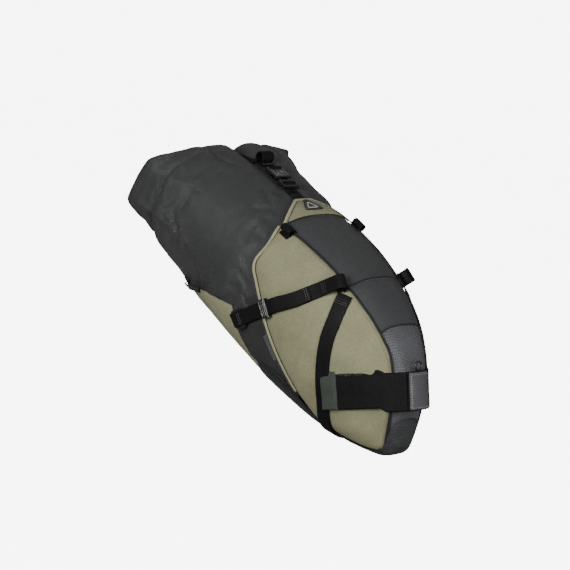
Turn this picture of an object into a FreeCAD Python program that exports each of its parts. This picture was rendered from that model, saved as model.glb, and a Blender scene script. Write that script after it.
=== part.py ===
import FreeCAD, Part

import math
import os

V = FreeCAD.Vector

# Seat pack for a bicycle: a fabric holster strapped under the saddle and to the
# seatpost, with a roll-top dry bag inside it.  Millimetres.
#
# Two frames are used.  The bag's own frame measures s rearward along the bag,
# y to the left and h square to the bag's axis.  The row frame has +X forward,
# +Y left, +Z up, and its origin at the middle of the seatpost strap, on the
# bag's front face.

TILT = math.radians(18.0)            # the bag rises towards its rear
POST_LEAN = math.radians(34.0)       # seatpost against the bag's own h axis

# Section stations: s, half width, underside, top, squareness of the section.
STATIONS = [
    (-22.0, 18.0, -84.0, -58.0, 3.0),
    (-12.0, 25.0, -91.0, -18.0, 3.0),
    (2.0, 31.0, -97.0, 18.0, 3.0),
    (25.0, 42.0, -104.0, 44.0, 2.9),
    (52.0, 53.0, -110.0, 63.0, 2.8),
    (85.0, 65.0, -116.0, 78.0, 2.6),
    (118.0, 75.0, -118.0, 88.0, 2.5),
    (190.0, 89.0, -116.0, 96.0, 2.5),
    (255.0, 97.0, -110.0, 96.0, 2.4),
    (320.0, 105.0, -101.0, 93.0, 2.3),
    (380.0, 113.0, -86.0, 92.0, 2.3),
    (432.0, 120.0, -55.0, 88.0, 2.8),
    (464.0, 124.0, -20.0, 70.0, 4.5),
    (474.0, 124.0, -8.0, 58.0, 5.5),
]
BEARING_SCALE = 90.0                 # mm of skin per radian, for spacing points

# Layers, as offsets outward from the dry bag's skin.
INNER_LAYER = (0.6, 1.4)
OUTER_LAYER = (1.8, 2.8)
TRIM_LAYER = (3.2, 4.6)
STRAP_LAYER = (5.3, 6.9)
LAP = 4.0                            # how far one panel runs under the next
BINDING_SHIFT = -3.2                 # binding lies inside the panel edge
SECTION_POINTS = 48

# Panel outlines on the right side, as (s, h) handles.
TOP_SEAM = [(252, 81), (220, 84), (182, 84), (148, 81), (120, 76), (95, 70),
            (71, 62), (46, 50), (26, 36), (7, 12), (-6, -18), (-14, -46), (-19, -68)]
SIDE_EDGE = [(252, 81), (241, 61), (240, 35), (222, 17), (203, -1), (187, -18),
             (163, -39), (130, -65), (102, -86), (74, -102)]
SIDE_FOOT = [(74, -102), (50, -102), (26, -98), (6, -92), (-9, -85), (-19, -76)]
BOOT_EDGE = [(188, -84), (174, -78), (147, -75), (123, -80), (97, -90)]
WING_TOP = [(345, -72), (322, -59), (299, -49), (273, -43), (249, -36)]
WING_FRONT = [(249, -36), (237, -52), (228, -65), (215, -76), (205, -86), (182, -90)]
GUSSET_UPPER = [(212, 12), (203, 2), (187, -14), (163, -34), (130, -60), (104, -81)]
GUSSET_LOWER = [(252, -38), (238, -58), (222, -75), (205, -90), (174, -84), (147, -82), (118, -90)]
LABEL_UPPER = [(178, -30), (150, -53)]
LABEL_LOWER = [(184, -40), (157, -61)]
LABEL_LAYER = (1.8, 2.4)
BINDING_FOOT = (113, -77.6)          # binding stops short of the boot

FRONT_SEAM_S = 54.0                  # seam across the front of the top
MID_SEAM_S = 120.0                   # seam across the top between the rail loops
TOP_START_S = -20.0
TOP_END_S = 258.0
SEAM_SHY = -1.6                      # saddle panel stops short of the side panels
TONGUE_ROOT_S = 252.5
TONGUE_ROOT_HALF = 58.0
TONGUE_TIP_S = 291.0
TONGUE_TIP_HALF = 14.0
BADGE_S = 272.0
BADGE_REACH = 13.0
BADGE_THICK = 1.4
HEM_S = 345.0                        # rear edge of the khaki base
HEM_LENGTH = 7.0
HEM_TOP = -71.0
HEM_LAYER = (1.1, 3.4)
FLOOR_SHEET_START_S = 36.0
FLOOR_SHEET_LENGTH = 144.0
FLOOR_SHEET_LAYER = (-6.2, -4.6)     # inside the dry bag's raised floor
NOSE_SECTIONS = [(-20.8, 2.6), (-23.0, 1.2), (-25.0, -2.0), (-26.4, -6.5), (-27.0, -10.0)]
SMALLEST_RISE = 25.0                 # stops laps growing at the nose

# Dry bag
SHELL_WALL = 1.2
SHELL_FLOOR = -95.0                  # flat underside where the holster holds it
SHELL_CEILING = 93.5
SHELL_END_S = 446.0
ROLL_START_S = 447.2
ROLL_SECTIONS = [(447.2, 0.0, 0.0), (453.0, 0.05, 0.0), (460.0, 0.13, 0.0),
                 (467.0, 0.20, -1.0), (472.0, 0.25, -4.0), (474.0, 0.27, -9.0)]
LEAN_PIVOT = 20.0                    # height that the leaning roll turns about
STIFFENER_S = 455.0
STIFFENER_SIZE = (200.0, 25.0, 2.0)
COLLAR_START_S = 366.0
COLLAR_HALF = 104.0
COLLAR_TAPER = 6.0
COLLAR_SQUARENESS = 3.0
COLLAR_LOW = -34.0
COLLAR_HIGH = 66.0

# Webbing
WEB = 20.0
WEB_THICK = 1.6
BELLY_ROUTE = [(114, -51, 69), (104, -63, 43), (98, -68, 14), (91, -67, -12),
               (82, -63, -37), (72, -57, -62), (64, -45, -92), (60, -22, -110)]
RAIL_LOOP_SPOT = (127, -50, 74)      # where the loop's foot is sewn
RAIL_LOOP_HEIGHT = 12.5              # loop's axis above the skin
LOOP_BORE = 5.0                      # takes a 7 mm saddle rail with room
LOOP_WALL = 1.5
LOOP_FOOT_LIFT = 4.8                 # foot stands on the piping and the belly strap
LOOP_FOOT_LENGTH = 8.0
KNUCKLE_GAP = 0.5
SIDE_ROUTE = [(142, -66, 58), (160, -79, 33)]
KEEPER_SPOT = (193, -90, -2)
KEEPER_REACH = 20.0                  # straight webbing either side of the keeper
KEEPER_LIFT = 6.4
KEEPER_LENGTH = 12.0
KEEPER_WALL = 1.4
TAIL_GAP = 0.3
TAIL_THICK = 1.4
HOOK_SPOT = (226, -92, -40)
HOOK_LIFT = 9.2
HOOK_DROP = 1.9                      # plate's middle below the strap's underside
HOOK_SIZE = (17.0, 26.0, 2.4)
ANCHOR_LIFT = 2.95
ANCHOR_THICK = 1.0
ACCESSORY_SPOT = (238, -59, 82)
ACCESSORY_BORE = 3.8
ACCESSORY_WALL = 1.6
ACCESSORY_LENGTH = 18.0

# Seatpost strap, in the seatpost frame (forward, left)
POST_WEB = 50.0
POST_LAYER = 5.6
RING_R = 5.2
RING_WIRE = 1.2
POST_HINGE = (13.0, -19.5)
POST_FRONT = [(14.6, -16.8), (17.0, -10.0), (17.6, 0.0), (17.0, 10.0), (11.5, 22.0), (1.0, 33.0)]
FLAP_ROUTE = [(11.0, -21.6), (4.0, -30.6), (-5.0, -37.2)]
POST_SIDE_HEIGHT = 3.0
HOOK_FIELD = (-30.0, -34.0, -18.0, 42.0)   # start and length along, start and length up
HOOK_FIELD_LAYER = (3.2, 4.2)
FLAP_END = -70.0
TAB_END = -90.0

# Centre strap and buckle, along the top
BUCKLE_PLANE = 95.6
MALE_START_S = 316.0
MALE_FRAME_END_S = 332.0
PRONG_END_S = 349.0
FEMALE_START_S = 336.5
FEMALE_END_S = 362.0
BUCKLE_HALF = 13.0
BUCKLE_TALL = 8.0
SLOT_HALF = 10.2                     # webbing slots through the buckle
CENTRE_STRAP_GAP = 0.4
CENTRE_STRAP_THICK = 1.1
CLOSURE_LOOP_S = 382.0
CLOSURE_END_S = 445.0
CLOSURE_LOOP_R = 8.0


def slope_between(points):
    """Monotone cubic slopes at each station."""
    steps = [(b[1] - a[1]) / (b[0] - a[0]) for a, b in zip(points, points[1:])]
    slopes = [steps[0]]
    for left, right in zip(steps, steps[1:]):
        if left * right <= 0.0:
            slopes.append(0.0)
        else:
            slopes.append(2.0 * left * right / (left + right))
    slopes.append(steps[-1])
    return slopes


def make_curve(column):
    points = [(row[0], row[column]) for row in STATIONS]
    slopes = slope_between(points)

    def value(s):
        s = min(max(s, points[0][0]), points[-1][0])
        i = 0
        while i < len(points) - 2 and s > points[i + 1][0]:
            i += 1
        (x0, y0), (x1, y1) = points[i], points[i + 1]
        span = x1 - x0
        t = (s - x0) / span
        low = y0 * (1 + 2 * t) * (1 - t) ** 2 + slopes[i] * span * t * (1 - t) ** 2
        high = y1 * t * t * (3 - 2 * t) + slopes[i + 1] * span * t * t * (t - 1)
        return low + high

    return value


half_width = make_curve(1)
underside = make_curve(2)
top_line = make_curve(3)
squareness = make_curve(4)


def section(s, offset=0.0):
    """Half width, centre height, half height and squareness at station s."""
    low = underside(s) - offset
    high = top_line(s) + offset
    return half_width(s) + offset, (high + low) / 2, (high - low) / 2, squareness(s)


def skin(s, bearing, offset=0.0):
    """Point of the bag's skin; bearing 0 is the right side and 90 degrees the top."""
    half, centre, rise, power = section(s, offset)
    across, up = math.cos(bearing), math.sin(bearing)
    reach = (abs(across) ** power + abs(up) ** power) ** (-1.0 / power)
    return (s, -half * reach * across, centre + rise * reach * up)


def bearing_at_height(s, h):
    half, centre, rise, power = section(s)
    up = max(-1.0, min(1.0, (h - centre) / rise))
    return math.atan2(up, (1 - abs(up) ** power) ** (1.0 / power))


def bearing_at_width(s, y, upper=True):
    """Bearing of the top (or underside) point at the given distance to the right."""
    half, centre, rise, power = section(s)
    across = max(-1.0, min(1.0, y / half))
    up = (1 - abs(across) ** power) ** (1.0 / power)
    return math.atan2(up if upper else -up, across)


def settle(point, offset):
    """Move a point straight in or out until it lies on the skin plus an offset."""
    s, y, h = point
    half, centre, rise, power = section(s)
    return skin(s, math.atan2((h - centre) / rise, -y / half), offset)


def place(point):
    """Bag frame to row frame."""
    s, y, h = point
    x = -s * math.cos(TILT) + h * math.sin(TILT)
    z = s * math.sin(TILT) + h * math.cos(TILT)
    return V(x, y, z)


def from_post(forward, y, up):
    """Seatpost frame (forward, left, up the post) to bag frame."""
    s = -forward * math.cos(POST_LEAN) + up * math.sin(POST_LEAN)
    h = forward * math.sin(POST_LEAN) + up * math.cos(POST_LEAN)
    return (s, y, h)


def spread(handles, count):
    """Even points along a smooth curve through (s, bearing) handles."""
    line = Part.BSplineCurve()
    line.interpolate([V(s, b * BEARING_SCALE, 0) for s, b in handles])
    return [(p.x, p.y / BEARING_SCALE) for p in line.discretize(Number=count)]


def on_side(handles):
    """(s, h) handles to (s, bearing) handles on the right side."""
    return [(s, bearing_at_height(s, h)) for s, h in handles]


def grid_face(grid):
    surface = Part.BSplineSurface()
    surface.interpolate([[place(p) for p in row] for row in grid])
    return surface


def close_up(faces, name):
    shell = Part.makeShell(faces)
    shell.sewShape()
    solid = Part.makeSolid(shell)
    if solid.Volume < 0:
        solid.reverse()
    if not solid.isValid():
        print("NOT VALID", name)
    return solid


def patch(lay, offsets, name="patch"):
    """Solid between two offsets of a grid of (s, bearing) skin points."""
    faces = []
    surfaces = []
    for offset in offsets:
        surfaces.append(grid_face([[skin(s, b, offset) for s, b in row] for row in lay]))
    for surface in surfaces:
        faces.append(surface.toShape())
    first, second = surfaces
    u0, u1, v0, v1 = first.bounds()
    for value in (u0, u1):
        faces.append(Part.makeRuledSurface(first.uIso(value).toShape(), second.uIso(value).toShape()))
    for value in (v0, v1):
        faces.append(Part.makeRuledSurface(first.vIso(value).toShape(), second.vIso(value).toShape()))
    return close_up(faces, name)


def between(edge_a, edge_b, columns, rows):
    """Grid of skin points from one edge to the other."""
    a = spread(edge_a, columns)
    b = spread(edge_b, columns)
    grid = []
    for j in range(rows):
        t = j / (rows - 1)
        grid.append([(p[0] + (q[0] - p[0]) * t, p[1] + (q[1] - p[1]) * t) for p, q in zip(a, b)])
    return grid


def mirrored(shape):
    return shape.mirror(V(0, 0, 0), V(0, 1, 0))


def add(a, b, k=1.0):
    return tuple(p + q * k for p, q in zip(a, b))


def unit(v):
    size = math.sqrt(sum(c * c for c in v))
    return tuple(c / size for c in v)


def cross(a, b):
    return (a[1] * b[2] - a[2] * b[1], a[2] * b[0] - a[0] * b[2], a[0] * b[1] - a[1] * b[0])


def dot(a, b):
    return sum(p * q for p, q in zip(a, b))


def outward(point):
    """Outward direction of the skin at a point, in the bag frame."""
    base = settle(point, 0.0)
    across = settle(add(point, (1.0, 0.0, 0.0)), 0.0)
    half, centre, rise, power = section(point[0])
    bearing = math.atan2((point[2] - centre) / rise, -point[1] / half)
    beside = skin(point[0], bearing + 0.01, 0.0)
    normal = unit(cross(add(across, base, -1), add(beside, base, -1)))
    radial = (0.0, base[1], base[2] - centre)
    return normal if dot(normal, radial) > 0 else tuple(-c for c in normal)


def smooth_route(handles, count, offset):
    """Even points over the skin along a smooth curve through bag-frame points."""
    line = Part.BSplineCurve()
    line.interpolate([V(*p) for p in handles])
    return [settle((p.x, p.y, p.z), offset) for p in line.discretize(Number=count)]


def ribbon(route, width, thick, normals=None, taper=None):
    """Strip of webbing: its underside follows the route, square to the normals."""
    wires = []
    for i, point in enumerate(route):
        ahead = route[min(i + 1, len(route) - 1)]
        behind = route[max(i - 1, 0)]
        along = unit(add(ahead, behind, -1))
        normal = normals[i] if normals else outward(point)
        normal = unit(add(normal, along, -dot(normal, along)))
        side = unit(cross(along, normal))
        half = width / 2 * (taper[i] if taper else 1.0)
        corners = [
            add(point, side, -half),
            add(point, side, half),
            add(add(point, side, half), normal, thick),
            add(add(point, side, -half), normal, thick),
        ]
        wires.append(Part.makePolygon([place(c) for c in corners + corners[:1]]))
    return Part.makeLoft(wires, True, True)


def block(centre, along, normal, size):
    """Box at a bag-frame point: size is length along, width across, height out."""
    along = unit(along)
    normal = unit(add(normal, along, -dot(normal, along)))
    side = cross(normal, along)
    box = Part.makeBox(size[0], size[1], size[2], V(-size[0] / 2, -size[1] / 2, -size[2] / 2))
    a, b, c = place(along), place(side), place(normal)
    o = place(centre)
    first, second, third = (a.x, b.x, c.x, o.x), (a.y, b.y, c.y, o.y), (a.z, b.z, c.z, o.z)
    box.transformShape(FreeCAD.Matrix(*first, *second, *third, 0, 0, 0, 1))
    return box


def tube(centre, axis, outer, inner, length):
    """Hollow cylinder centred on a bag-frame point."""
    direction = place(unit(axis))
    start = place(centre) - direction * (length / 2)
    ring = Part.makeCylinder(outer, length, start, direction)
    if inner > 0:
        overrun = direction * 1.0
        ring = ring.cut(Part.makeCylinder(inner, length + 2, start - overrun, direction))
    return ring


nodes = {}


def pair(name, shape):
    """A part on the right side and its mirror image on the left."""
    nodes[name + "_right"] = shape
    nodes[name + "_left"] = mirrored(shape)


# ---- Holster panels ---------------------------------------------------------

def side_panel():
    lower = on_side(SIDE_EDGE[1:] + SIDE_FOOT[1:])
    upper = on_side(TOP_SEAM)
    return patch(between(lower, upper, 26, 10), OUTER_LAYER, "side_panel")


def seam_bearing(s):
    """Bearing of the top seam at station s."""
    line = TOP_SEAM
    for (s0, h0), (s1, h1) in zip(line, line[1:]):
        if s1 <= s <= s0:
            return bearing_at_height(s, h0 + (h1 - h0) * (s - s0) / (s1 - s0))
    return bearing_at_height(s, line[0][1] if s > line[0][0] else line[-1][1])


def even_stations(start, end, count):
    """Stations spaced evenly along the bag's top line, closer together at the nose."""
    line = Part.BSplineCurve()
    steps = 60
    ends = [start + (end - start) * k / steps for k in range(steps + 1)]
    line.interpolate([V(s, top_line(s), 0) for s in ends])
    return [p.x for p in line.discretize(Number=count)]


def top_piece(start, end, rows, columns, lap, offsets, name):
    """Panel over the top between the two top seams, from one station to another."""
    grid = []
    for s in even_stations(start, end, rows):
        edge = seam_bearing(s) - lap / max(section(s)[2], SMALLEST_RISE)
        sweep = math.pi - 2 * edge
        grid.append([(s, edge + sweep * j / (columns - 1)) for j in range(columns)])
    return patch(grid, offsets, name)


def tongue():
    """Khaki tongue: full width at its root, narrowing to a blunt tip."""
    rows = 8
    columns = 13
    grid = []
    for i in range(rows):
        t = i / (rows - 1)
        s = TONGUE_ROOT_S + (TONGUE_TIP_S - TONGUE_ROOT_S) * t
        reach = TONGUE_ROOT_HALF + (TONGUE_TIP_HALF - TONGUE_ROOT_HALF) * t
        edge = bearing_at_width(s, reach)
        grid.append([(s, edge + (math.pi - 2 * edge) * j / (columns - 1)) for j in range(columns)])
    return patch(grid, OUTER_LAYER, "tongue")


def tongue_badge():
    """Blank triangular patch on the tongue."""
    low = []
    for turn in (90, 210, 330):
        angle = math.radians(turn)
        away = BADGE_REACH * math.sin(angle)
        corner = (BADGE_S + away, BADGE_REACH * 1.1 * math.cos(angle), SHELL_CEILING)
        low.append(settle(corner, TRIM_LAYER[0]))
    high = [add(corner, (0, 0, BADGE_THICK)) for corner in low]
    wires = [Part.makePolygon([place(c) for c in ring + ring[:1]]) for ring in (low, high)]
    return Part.makeLoft(wires, True, True)


def base_front():
    """Black boot under the front, wrapping up over the side panels' feet."""
    edge = spread(on_side(BOOT_EDGE + SIDE_FOOT[1:]), 26)
    columns = 13
    grid = []
    for s, b in edge:
        sweep = -math.pi - 2 * b
        grid.append([(s, b + sweep * j / (columns - 1)) for j in range(columns)])
    return patch(grid, TRIM_LAYER, "base_front")


def wing_height(s):
    line = list(reversed(WING_TOP + WING_FRONT[1:]))
    for (s0, h0), (s1, h1) in zip(line, line[1:]):
        if s0 <= s <= s1:
            return h0 + (h1 - h0) * (s - s0) / (s1 - s0)
    return line[-1][1]


def base_rear():
    """Khaki cradle behind the boot, with a wing up each side."""
    rows = 15
    columns = 15
    start = WING_FRONT[-1][0]
    grid = []
    for i in range(rows):
        s = start + (HEM_S - start) * i / (rows - 1)
        edge = bearing_at_height(s, wing_height(s))
        sweep = -math.pi - 2 * edge
        grid.append([(s, edge + sweep * j / (columns - 1)) for j in range(columns)])
    return patch(grid, OUTER_LAYER, "base_rear")


def nose_cap():
    """Rounded end that closes the holster ahead of its panels."""
    return Part.makeLoft([shell_section(s, offset) for s, offset in NOSE_SECTIONS], True, False)


def base_hem():
    """Dark binding folded round the cradle's rear edge."""
    columns = 15
    grid = []
    for s in (HEM_S + 0.6, HEM_S + HEM_LENGTH / 2, HEM_S + HEM_LENGTH):
        edge = bearing_at_height(s, HEM_TOP)
        grid.append([(s, edge + (-math.pi - 2 * edge) * j / (columns - 1)) for j in range(columns)])
    return patch(grid, HEM_LAYER, "base_hem")


def gusset():
    """Dark mesh gusset between the side panel, the boot and the wing."""
    return patch(between(on_side(GUSSET_LOWER), on_side(GUSSET_UPPER), 16, 7), INNER_LAYER, "gusset")


def gusset_label():
    """Blank woven label sewn beside the side panel's edge."""
    return patch(between(on_side(LABEL_LOWER), on_side(LABEL_UPPER), 5, 3), LABEL_LAYER, "gusset_label")


def strip_along(handles, width, count, layer, shift=0.0):
    """Thin trim along an (s, h) outline, moved across it by shift."""
    route = []
    points = spread(on_side(handles), count)
    for s, b in points:
        route.append(skin(s, b, layer[0]))
    moved = []
    for i, point in enumerate(route):
        along = unit(add(route[min(i + 1, count - 1)], route[max(i - 1, 0)], -1))
        side = cross(along, outward(point))
        moved.append(settle(add(point, side, shift), layer[0]))
    return ribbon(moved, width, layer[1] - layer[0])


def shell_section(s, offset, lean=0.0):
    """Closed outline of the dry bag at station s."""
    half, centre, rise, power = section(s)
    up_reach = min(top_line(s), SHELL_CEILING) + offset - centre
    down_reach = centre - max(underside(s), SHELL_FLOOR) + offset
    half += offset
    points = []
    for k in range(SECTION_POINTS):
        bearing = 2 * math.pi * (k + 0.5) / SECTION_POINTS
        across, up = math.cos(bearing), math.sin(bearing)
        reach = (abs(across) ** power + abs(up) ** power) ** (-1.0 / power)
        h = centre + (up_reach if up > 0 else down_reach) * reach * up
        points.append(place((s - lean * (h - LEAN_PIVOT), -half * reach * across, h)))
    outline = Part.BSplineCurve()
    outline.interpolate(points, PeriodicFlag=True)
    return Part.Wire([outline.toShape()])


def drybag_shell():
    stations = [16, 32, 50, 70, 92, 120, 150, 185, 220, 255, 290, 320, 350, 380, 408, 430, SHELL_END_S]
    outer = Part.makeLoft([shell_section(s, 0.0) for s in stations], True, False)
    inner_stations = [stations[0] + SHELL_WALL] + stations[1:] + [SHELL_END_S + 4]
    inner = Part.makeLoft([shell_section(s, -SHELL_WALL) for s in inner_stations], True, False)
    return outer.cut(inner)


def collar_section(s, half, offset):
    centre = (COLLAR_HIGH + COLLAR_LOW) / 2
    rise = (COLLAR_HIGH - COLLAR_LOW) / 2 + offset
    points = []
    for k in range(SECTION_POINTS):
        bearing = 2 * math.pi * (k + 0.5) / SECTION_POINTS
        across, up = math.cos(bearing), math.sin(bearing)
        power = COLLAR_SQUARENESS
        reach = (abs(across) ** power + abs(up) ** power) ** (-1.0 / power)
        points.append(place((s, -(half + offset) * reach * across, centre + rise * reach * up)))
    outline = Part.BSplineCurve()
    outline.interpolate(points, PeriodicFlag=True)
    return Part.Wire([outline.toShape()])


def mouth_collar():
    """Throat of the dry bag, tucked in behind the rolled end."""
    narrow = COLLAR_HALF - COLLAR_TAPER
    outer = [collar_section(COLLAR_START_S, narrow, 0), collar_section(ROLL_START_S, COLLAR_HALF, 0)]
    inner = [collar_section(COLLAR_START_S - 1, narrow, -SHELL_WALL),
             collar_section(ROLL_START_S + 1, COLLAR_HALF, -SHELL_WALL)]
    return Part.makeLoft(outer, True, True).cut(Part.makeLoft(inner, True, True))


def rolled_end():
    """The rolled-up mouth, leaning forward towards its top, round a stiffener strip."""
    return Part.makeLoft([shell_section(s, inset, lean) for s, lean, inset in ROLL_SECTIONS], True, False)


def stiffener_strip():
    return block((STIFFENER_S, 0.0, LEAN_PIVOT), (0, 1, 0), (1, 0, 0), STIFFENER_SIZE)


def belly_strap():
    """Webbing from one rail loop, under the bag and up to the other."""
    line = Part.BSplineCurve()
    left = [(s, -y, h) for s, y, h in reversed(BELLY_ROUTE)]
    line.interpolate([V(*p) for p in BELLY_ROUTE + left])
    route = []
    for p in line.discretize(Number=61):
        ramp = min(max((-p.z - 72.0) / 18.0, 0.0), 1.0)
        route.append(settle((p.x, p.y, p.z), 3.3 + 1.8 * ramp))
    return ribbon(route, WEB, 1.4)


def rail_loop_frame():
    """Loop centre, direction the side strap leaves in, outward direction, loop axis."""
    foot = settle(RAIL_LOOP_SPOT, 0.0)
    normal = outward(foot)
    heading = add(settle(SIDE_ROUTE[0], 0.0), foot, -1)
    heading = unit(add(heading, normal, -dot(heading, normal)))
    axis = unit(cross(heading, normal))
    if axis[0] > 0:
        axis = tuple(-c for c in axis)
    return add(foot, normal, RAIL_LOOP_HEIGHT), heading, normal, axis


def rail_loop():
    centre, heading, normal, axis = rail_loop_frame()
    outer = LOOP_BORE + LOOP_WALL
    ring = tube(centre, axis, outer, 0, WEB)
    tall = RAIL_LOOP_HEIGHT - LOOP_FOOT_LIFT
    foot = block(add(centre, normal, -tall / 2), heading, normal, (LOOP_FOOT_LENGTH, WEB, tall))
    whole = ring.fuse(foot)
    return whole.cut(tube(centre, axis, LOOP_BORE, 0, WEB + 4))


def side_strap_path():
    """Underside route and normals of the right side strap, from loop to hook."""
    centre, heading, normal, axis = rail_loop_frame()
    radius = LOOP_BORE + LOOP_WALL + KNUCKLE_GAP
    route = []
    normals = []
    for k in range(9):
        angle = math.radians(128.0 - 11.0 * k)
        radial = add(tuple(c * math.cos(angle) for c in heading), normal, math.sin(angle))
        route.append(add(centre, radial, radius))
        normals.append(radial)
    keeper = settle(KEEPER_SPOT, KEEPER_LIFT)
    run = unit(add(settle(HOOK_SPOT, HOOK_LIFT), settle(SIDE_ROUTE[-1], STRAP_LAYER[0]), -1))
    run = unit(add(run, outward(keeper), -dot(run, outward(keeper))))
    handles = [route[-1]]
    handles += [settle(p, STRAP_LAYER[0]) for p in SIDE_ROUTE]
    handles += [add(keeper, run, k * KEEPER_REACH) for k in (-1.0, -0.5, 0.0, 0.5, 1.0)]
    handles.append(add(settle(HOOK_SPOT, HOOK_LIFT), run, 8.0))
    line = Part.BSplineCurve()
    line.interpolate([V(*p) for p in handles])
    for p in line.discretize(Number=36)[1:]:
        route.append((p.x, p.y, p.z))
        normals.append(outward((p.x, p.y, p.z)))
    return route, normals, keeper, run


SIDE_STRAP_ROUTE, SIDE_STRAP_NORMALS, KEEPER_CENTRE, STRAP_RUN = side_strap_path()


def side_strap():
    return ribbon(SIDE_STRAP_ROUTE, WEB, WEB_THICK, SIDE_STRAP_NORMALS)


def side_strap_tail():
    """Free end of the webbing, doubled back over the strap from the keeper."""
    lifted = []
    kept = []
    for point, normal in zip(SIDE_STRAP_ROUTE, SIDE_STRAP_NORMALS):
        if 146.0 < point[0] < 196.0 and point[2] < 62.0:
            lifted.append(add(point, normal, WEB_THICK + TAIL_GAP))
            kept.append(normal)
    return ribbon(lifted, WEB - 0.6, TAIL_THICK, kept)


def keeper():
    """Plastic slider round the side strap and its tail."""
    normal = outward(KEEPER_CENTRE)
    stack = WEB_THICK + TAIL_GAP + TAIL_THICK
    hole = stack + 1.2
    middle = add(KEEPER_CENTRE, normal, stack / 2)
    outer = block(middle, STRAP_RUN, normal, (KEEPER_LENGTH, WEB + 5.2, hole + 2 * KEEPER_WALL))
    slot = block(middle, STRAP_RUN, normal, (KEEPER_LENGTH + 8.0, WEB + 1.4, hole))
    edges = [e for e in outer.Edges if e.Length > WEB]
    return outer.makeFillet(1.2, edges).cut(slot)


def side_hook():
    """Flat hook plate under the strap's lower end."""
    end = add(settle(HOOK_SPOT, HOOK_LIFT), STRAP_RUN, -1.0)
    normal = outward(end)
    middle = add(end, normal, -HOOK_DROP)
    whole = block(middle, STRAP_RUN, normal, HOOK_SIZE)
    slot = block(add(middle, STRAP_RUN, 2.5), STRAP_RUN, normal, (4.6, WEB + 0.6, 6.0))
    corners = [e for e in whole.Edges if e.Length < 3.0]
    return whole.makeFillet(3.0, corners).cut(slot)


def strap_anchor():
    """Short webbing tab on the wing that the hook plate catches."""
    foot = settle(HOOK_SPOT, ANCHOR_LIFT)
    path = [settle(add(foot, STRAP_RUN, 5.0 * k), ANCHOR_LIFT) for k in range(-2, 4)]
    return ribbon(path, WEB - 2, ANCHOR_THICK)


def accessory_centre():
    foot = settle(ACCESSORY_SPOT, 0.0)
    return add(foot, outward(foot), TRIM_LAYER[0] + ACCESSORY_BORE + ACCESSORY_WALL)


def accessory_loop():
    outer = ACCESSORY_BORE + ACCESSORY_WALL
    return tube(accessory_centre(), (1.0, 0.0, 0.0), outer, ACCESSORY_BORE, ACCESSORY_LENGTH)


def post_side(forward, up, offset, left=False):
    """Skin point beside the seatpost strap's centre line."""
    s, y, h = from_post(forward, 0.0, up)
    point = skin(s, bearing_at_height(s, h), offset)
    return (point[0], -point[1], point[2]) if left else point


def smooth_plan(points, count):
    line = Part.BSplineCurve()
    line.interpolate([V(f, y, 0) for f, y in points])
    return [(p.x, p.y) for p in line.discretize(Number=count)]


def side_run(start, stop, count, left=False):
    """Points back along the bag's side, under the seatpost strap's middle."""
    steps = [start + (stop - start) * k / (count - 1) for k in range(count)]
    return [post_side(forward, POST_SIDE_HEIGHT, POST_LAYER, left) for forward in steps]


def flip_out(point, normal):
    """Turn a normal so that it faces away from the bag."""
    ahead = 14.0                     # weight of facing forward against facing sideways
    away = add((0.0, point[1], 0.0), from_post(1.0, 0.0, 0.0), ahead)
    return normal if dot(normal, away) > 0 else tuple(-c for c in normal)


def post_bend(plan, count):
    """Route and normals round the seatpost through seatpost-frame (forward, y) points."""
    route = [from_post(f, y, 0.0) for f, y in smooth_plan(plan, count)]
    up_post = from_post(0.0, 0.0, 1.0)
    normals = []
    for i, point in enumerate(route):
        along = add(route[min(i + 1, count - 1)], route[max(i - 1, 0)], -1)
        normals.append(flip_out(point, unit(cross(along, up_post))))
    return route, normals


def seatpost_strap():
    """Front of the seatpost strap, sewn down on the left side."""
    front, normals = post_bend(POST_FRONT, 22)
    side = side_run(-10.0, -46.0, 7, True)
    normals += [flip_out(point, outward(point)) for point in side]
    return ribbon(front + side, POST_WEB, WEB_THICK, normals)


def seatpost_flap():
    """Hook-and-loop end of the seatpost strap, lying back along the right side."""
    corner, normals = post_bend(FLAP_ROUTE, 8)
    side = side_run(-14.0, FLAP_END, 9)
    normals += [outward(point) for point in side]
    return ribbon(corner + side, POST_WEB, WEB_THICK, normals)


def seatpost_tab():
    """Pull tab on the end of the flap."""
    side = side_run(FLAP_END - 0.1, TAB_END, 4)
    return ribbon(side, POST_WEB - 1.0, 1.4)


def seatpost_patch():
    """Stitched grip patch over the front of the seatpost strap."""
    bend, normals = post_bend(POST_FRONT, 22)
    bend = bend[1:13]
    normals = normals[1:13]
    route = [add(point, normal, WEB_THICK + 0.1) for point, normal in zip(bend, normals)]
    return ribbon(route, POST_WEB - 3.0, 0.9, normals)


def hook_field():
    """Loop pile on the side panel that the flap grips."""
    start, length, low, tall = HOOK_FIELD
    grid = []
    for j in range(6):
        row = []
        for k in range(6):
            s, y, h = from_post(start + length * j / 5, 0.0, low + tall * k / 5)
            row.append((s, bearing_at_height(s, h)))
        grid.append(row)
    return patch(grid, HOOK_FIELD_LAYER, "hook_field")


def post_ring():
    """Small ring standing on the top edge of the seatpost strap."""
    ahead = POST_FRONT[2][0] + WEB_THICK / 2
    edge = POST_WEB / 2
    middle = from_post(ahead, 0.0, edge + RING_R + 1.5)
    ring = Part.makeTorus(RING_R, RING_WIRE, place(middle), place(from_post(1.0, 0.0, 0.0)))
    foot = block(from_post(ahead, 0.0, edge + 1.1), from_post(0, 0, 1), from_post(1, 0, 0), (2.0, 7.0, 1.6))
    return ring.fuse(foot)


def centre_strap():
    """Webbing from under the tongue to the buckle's ladder frame."""
    height = SHELL_CEILING + CENTRE_STRAP_GAP
    route = [(276.0 + 8.0 * k, 0.0, height) for k in range(7)]
    return ribbon(route, WEB, CENTRE_STRAP_THICK, [(0.0, 0.0, 1.0)] * len(route))


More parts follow.
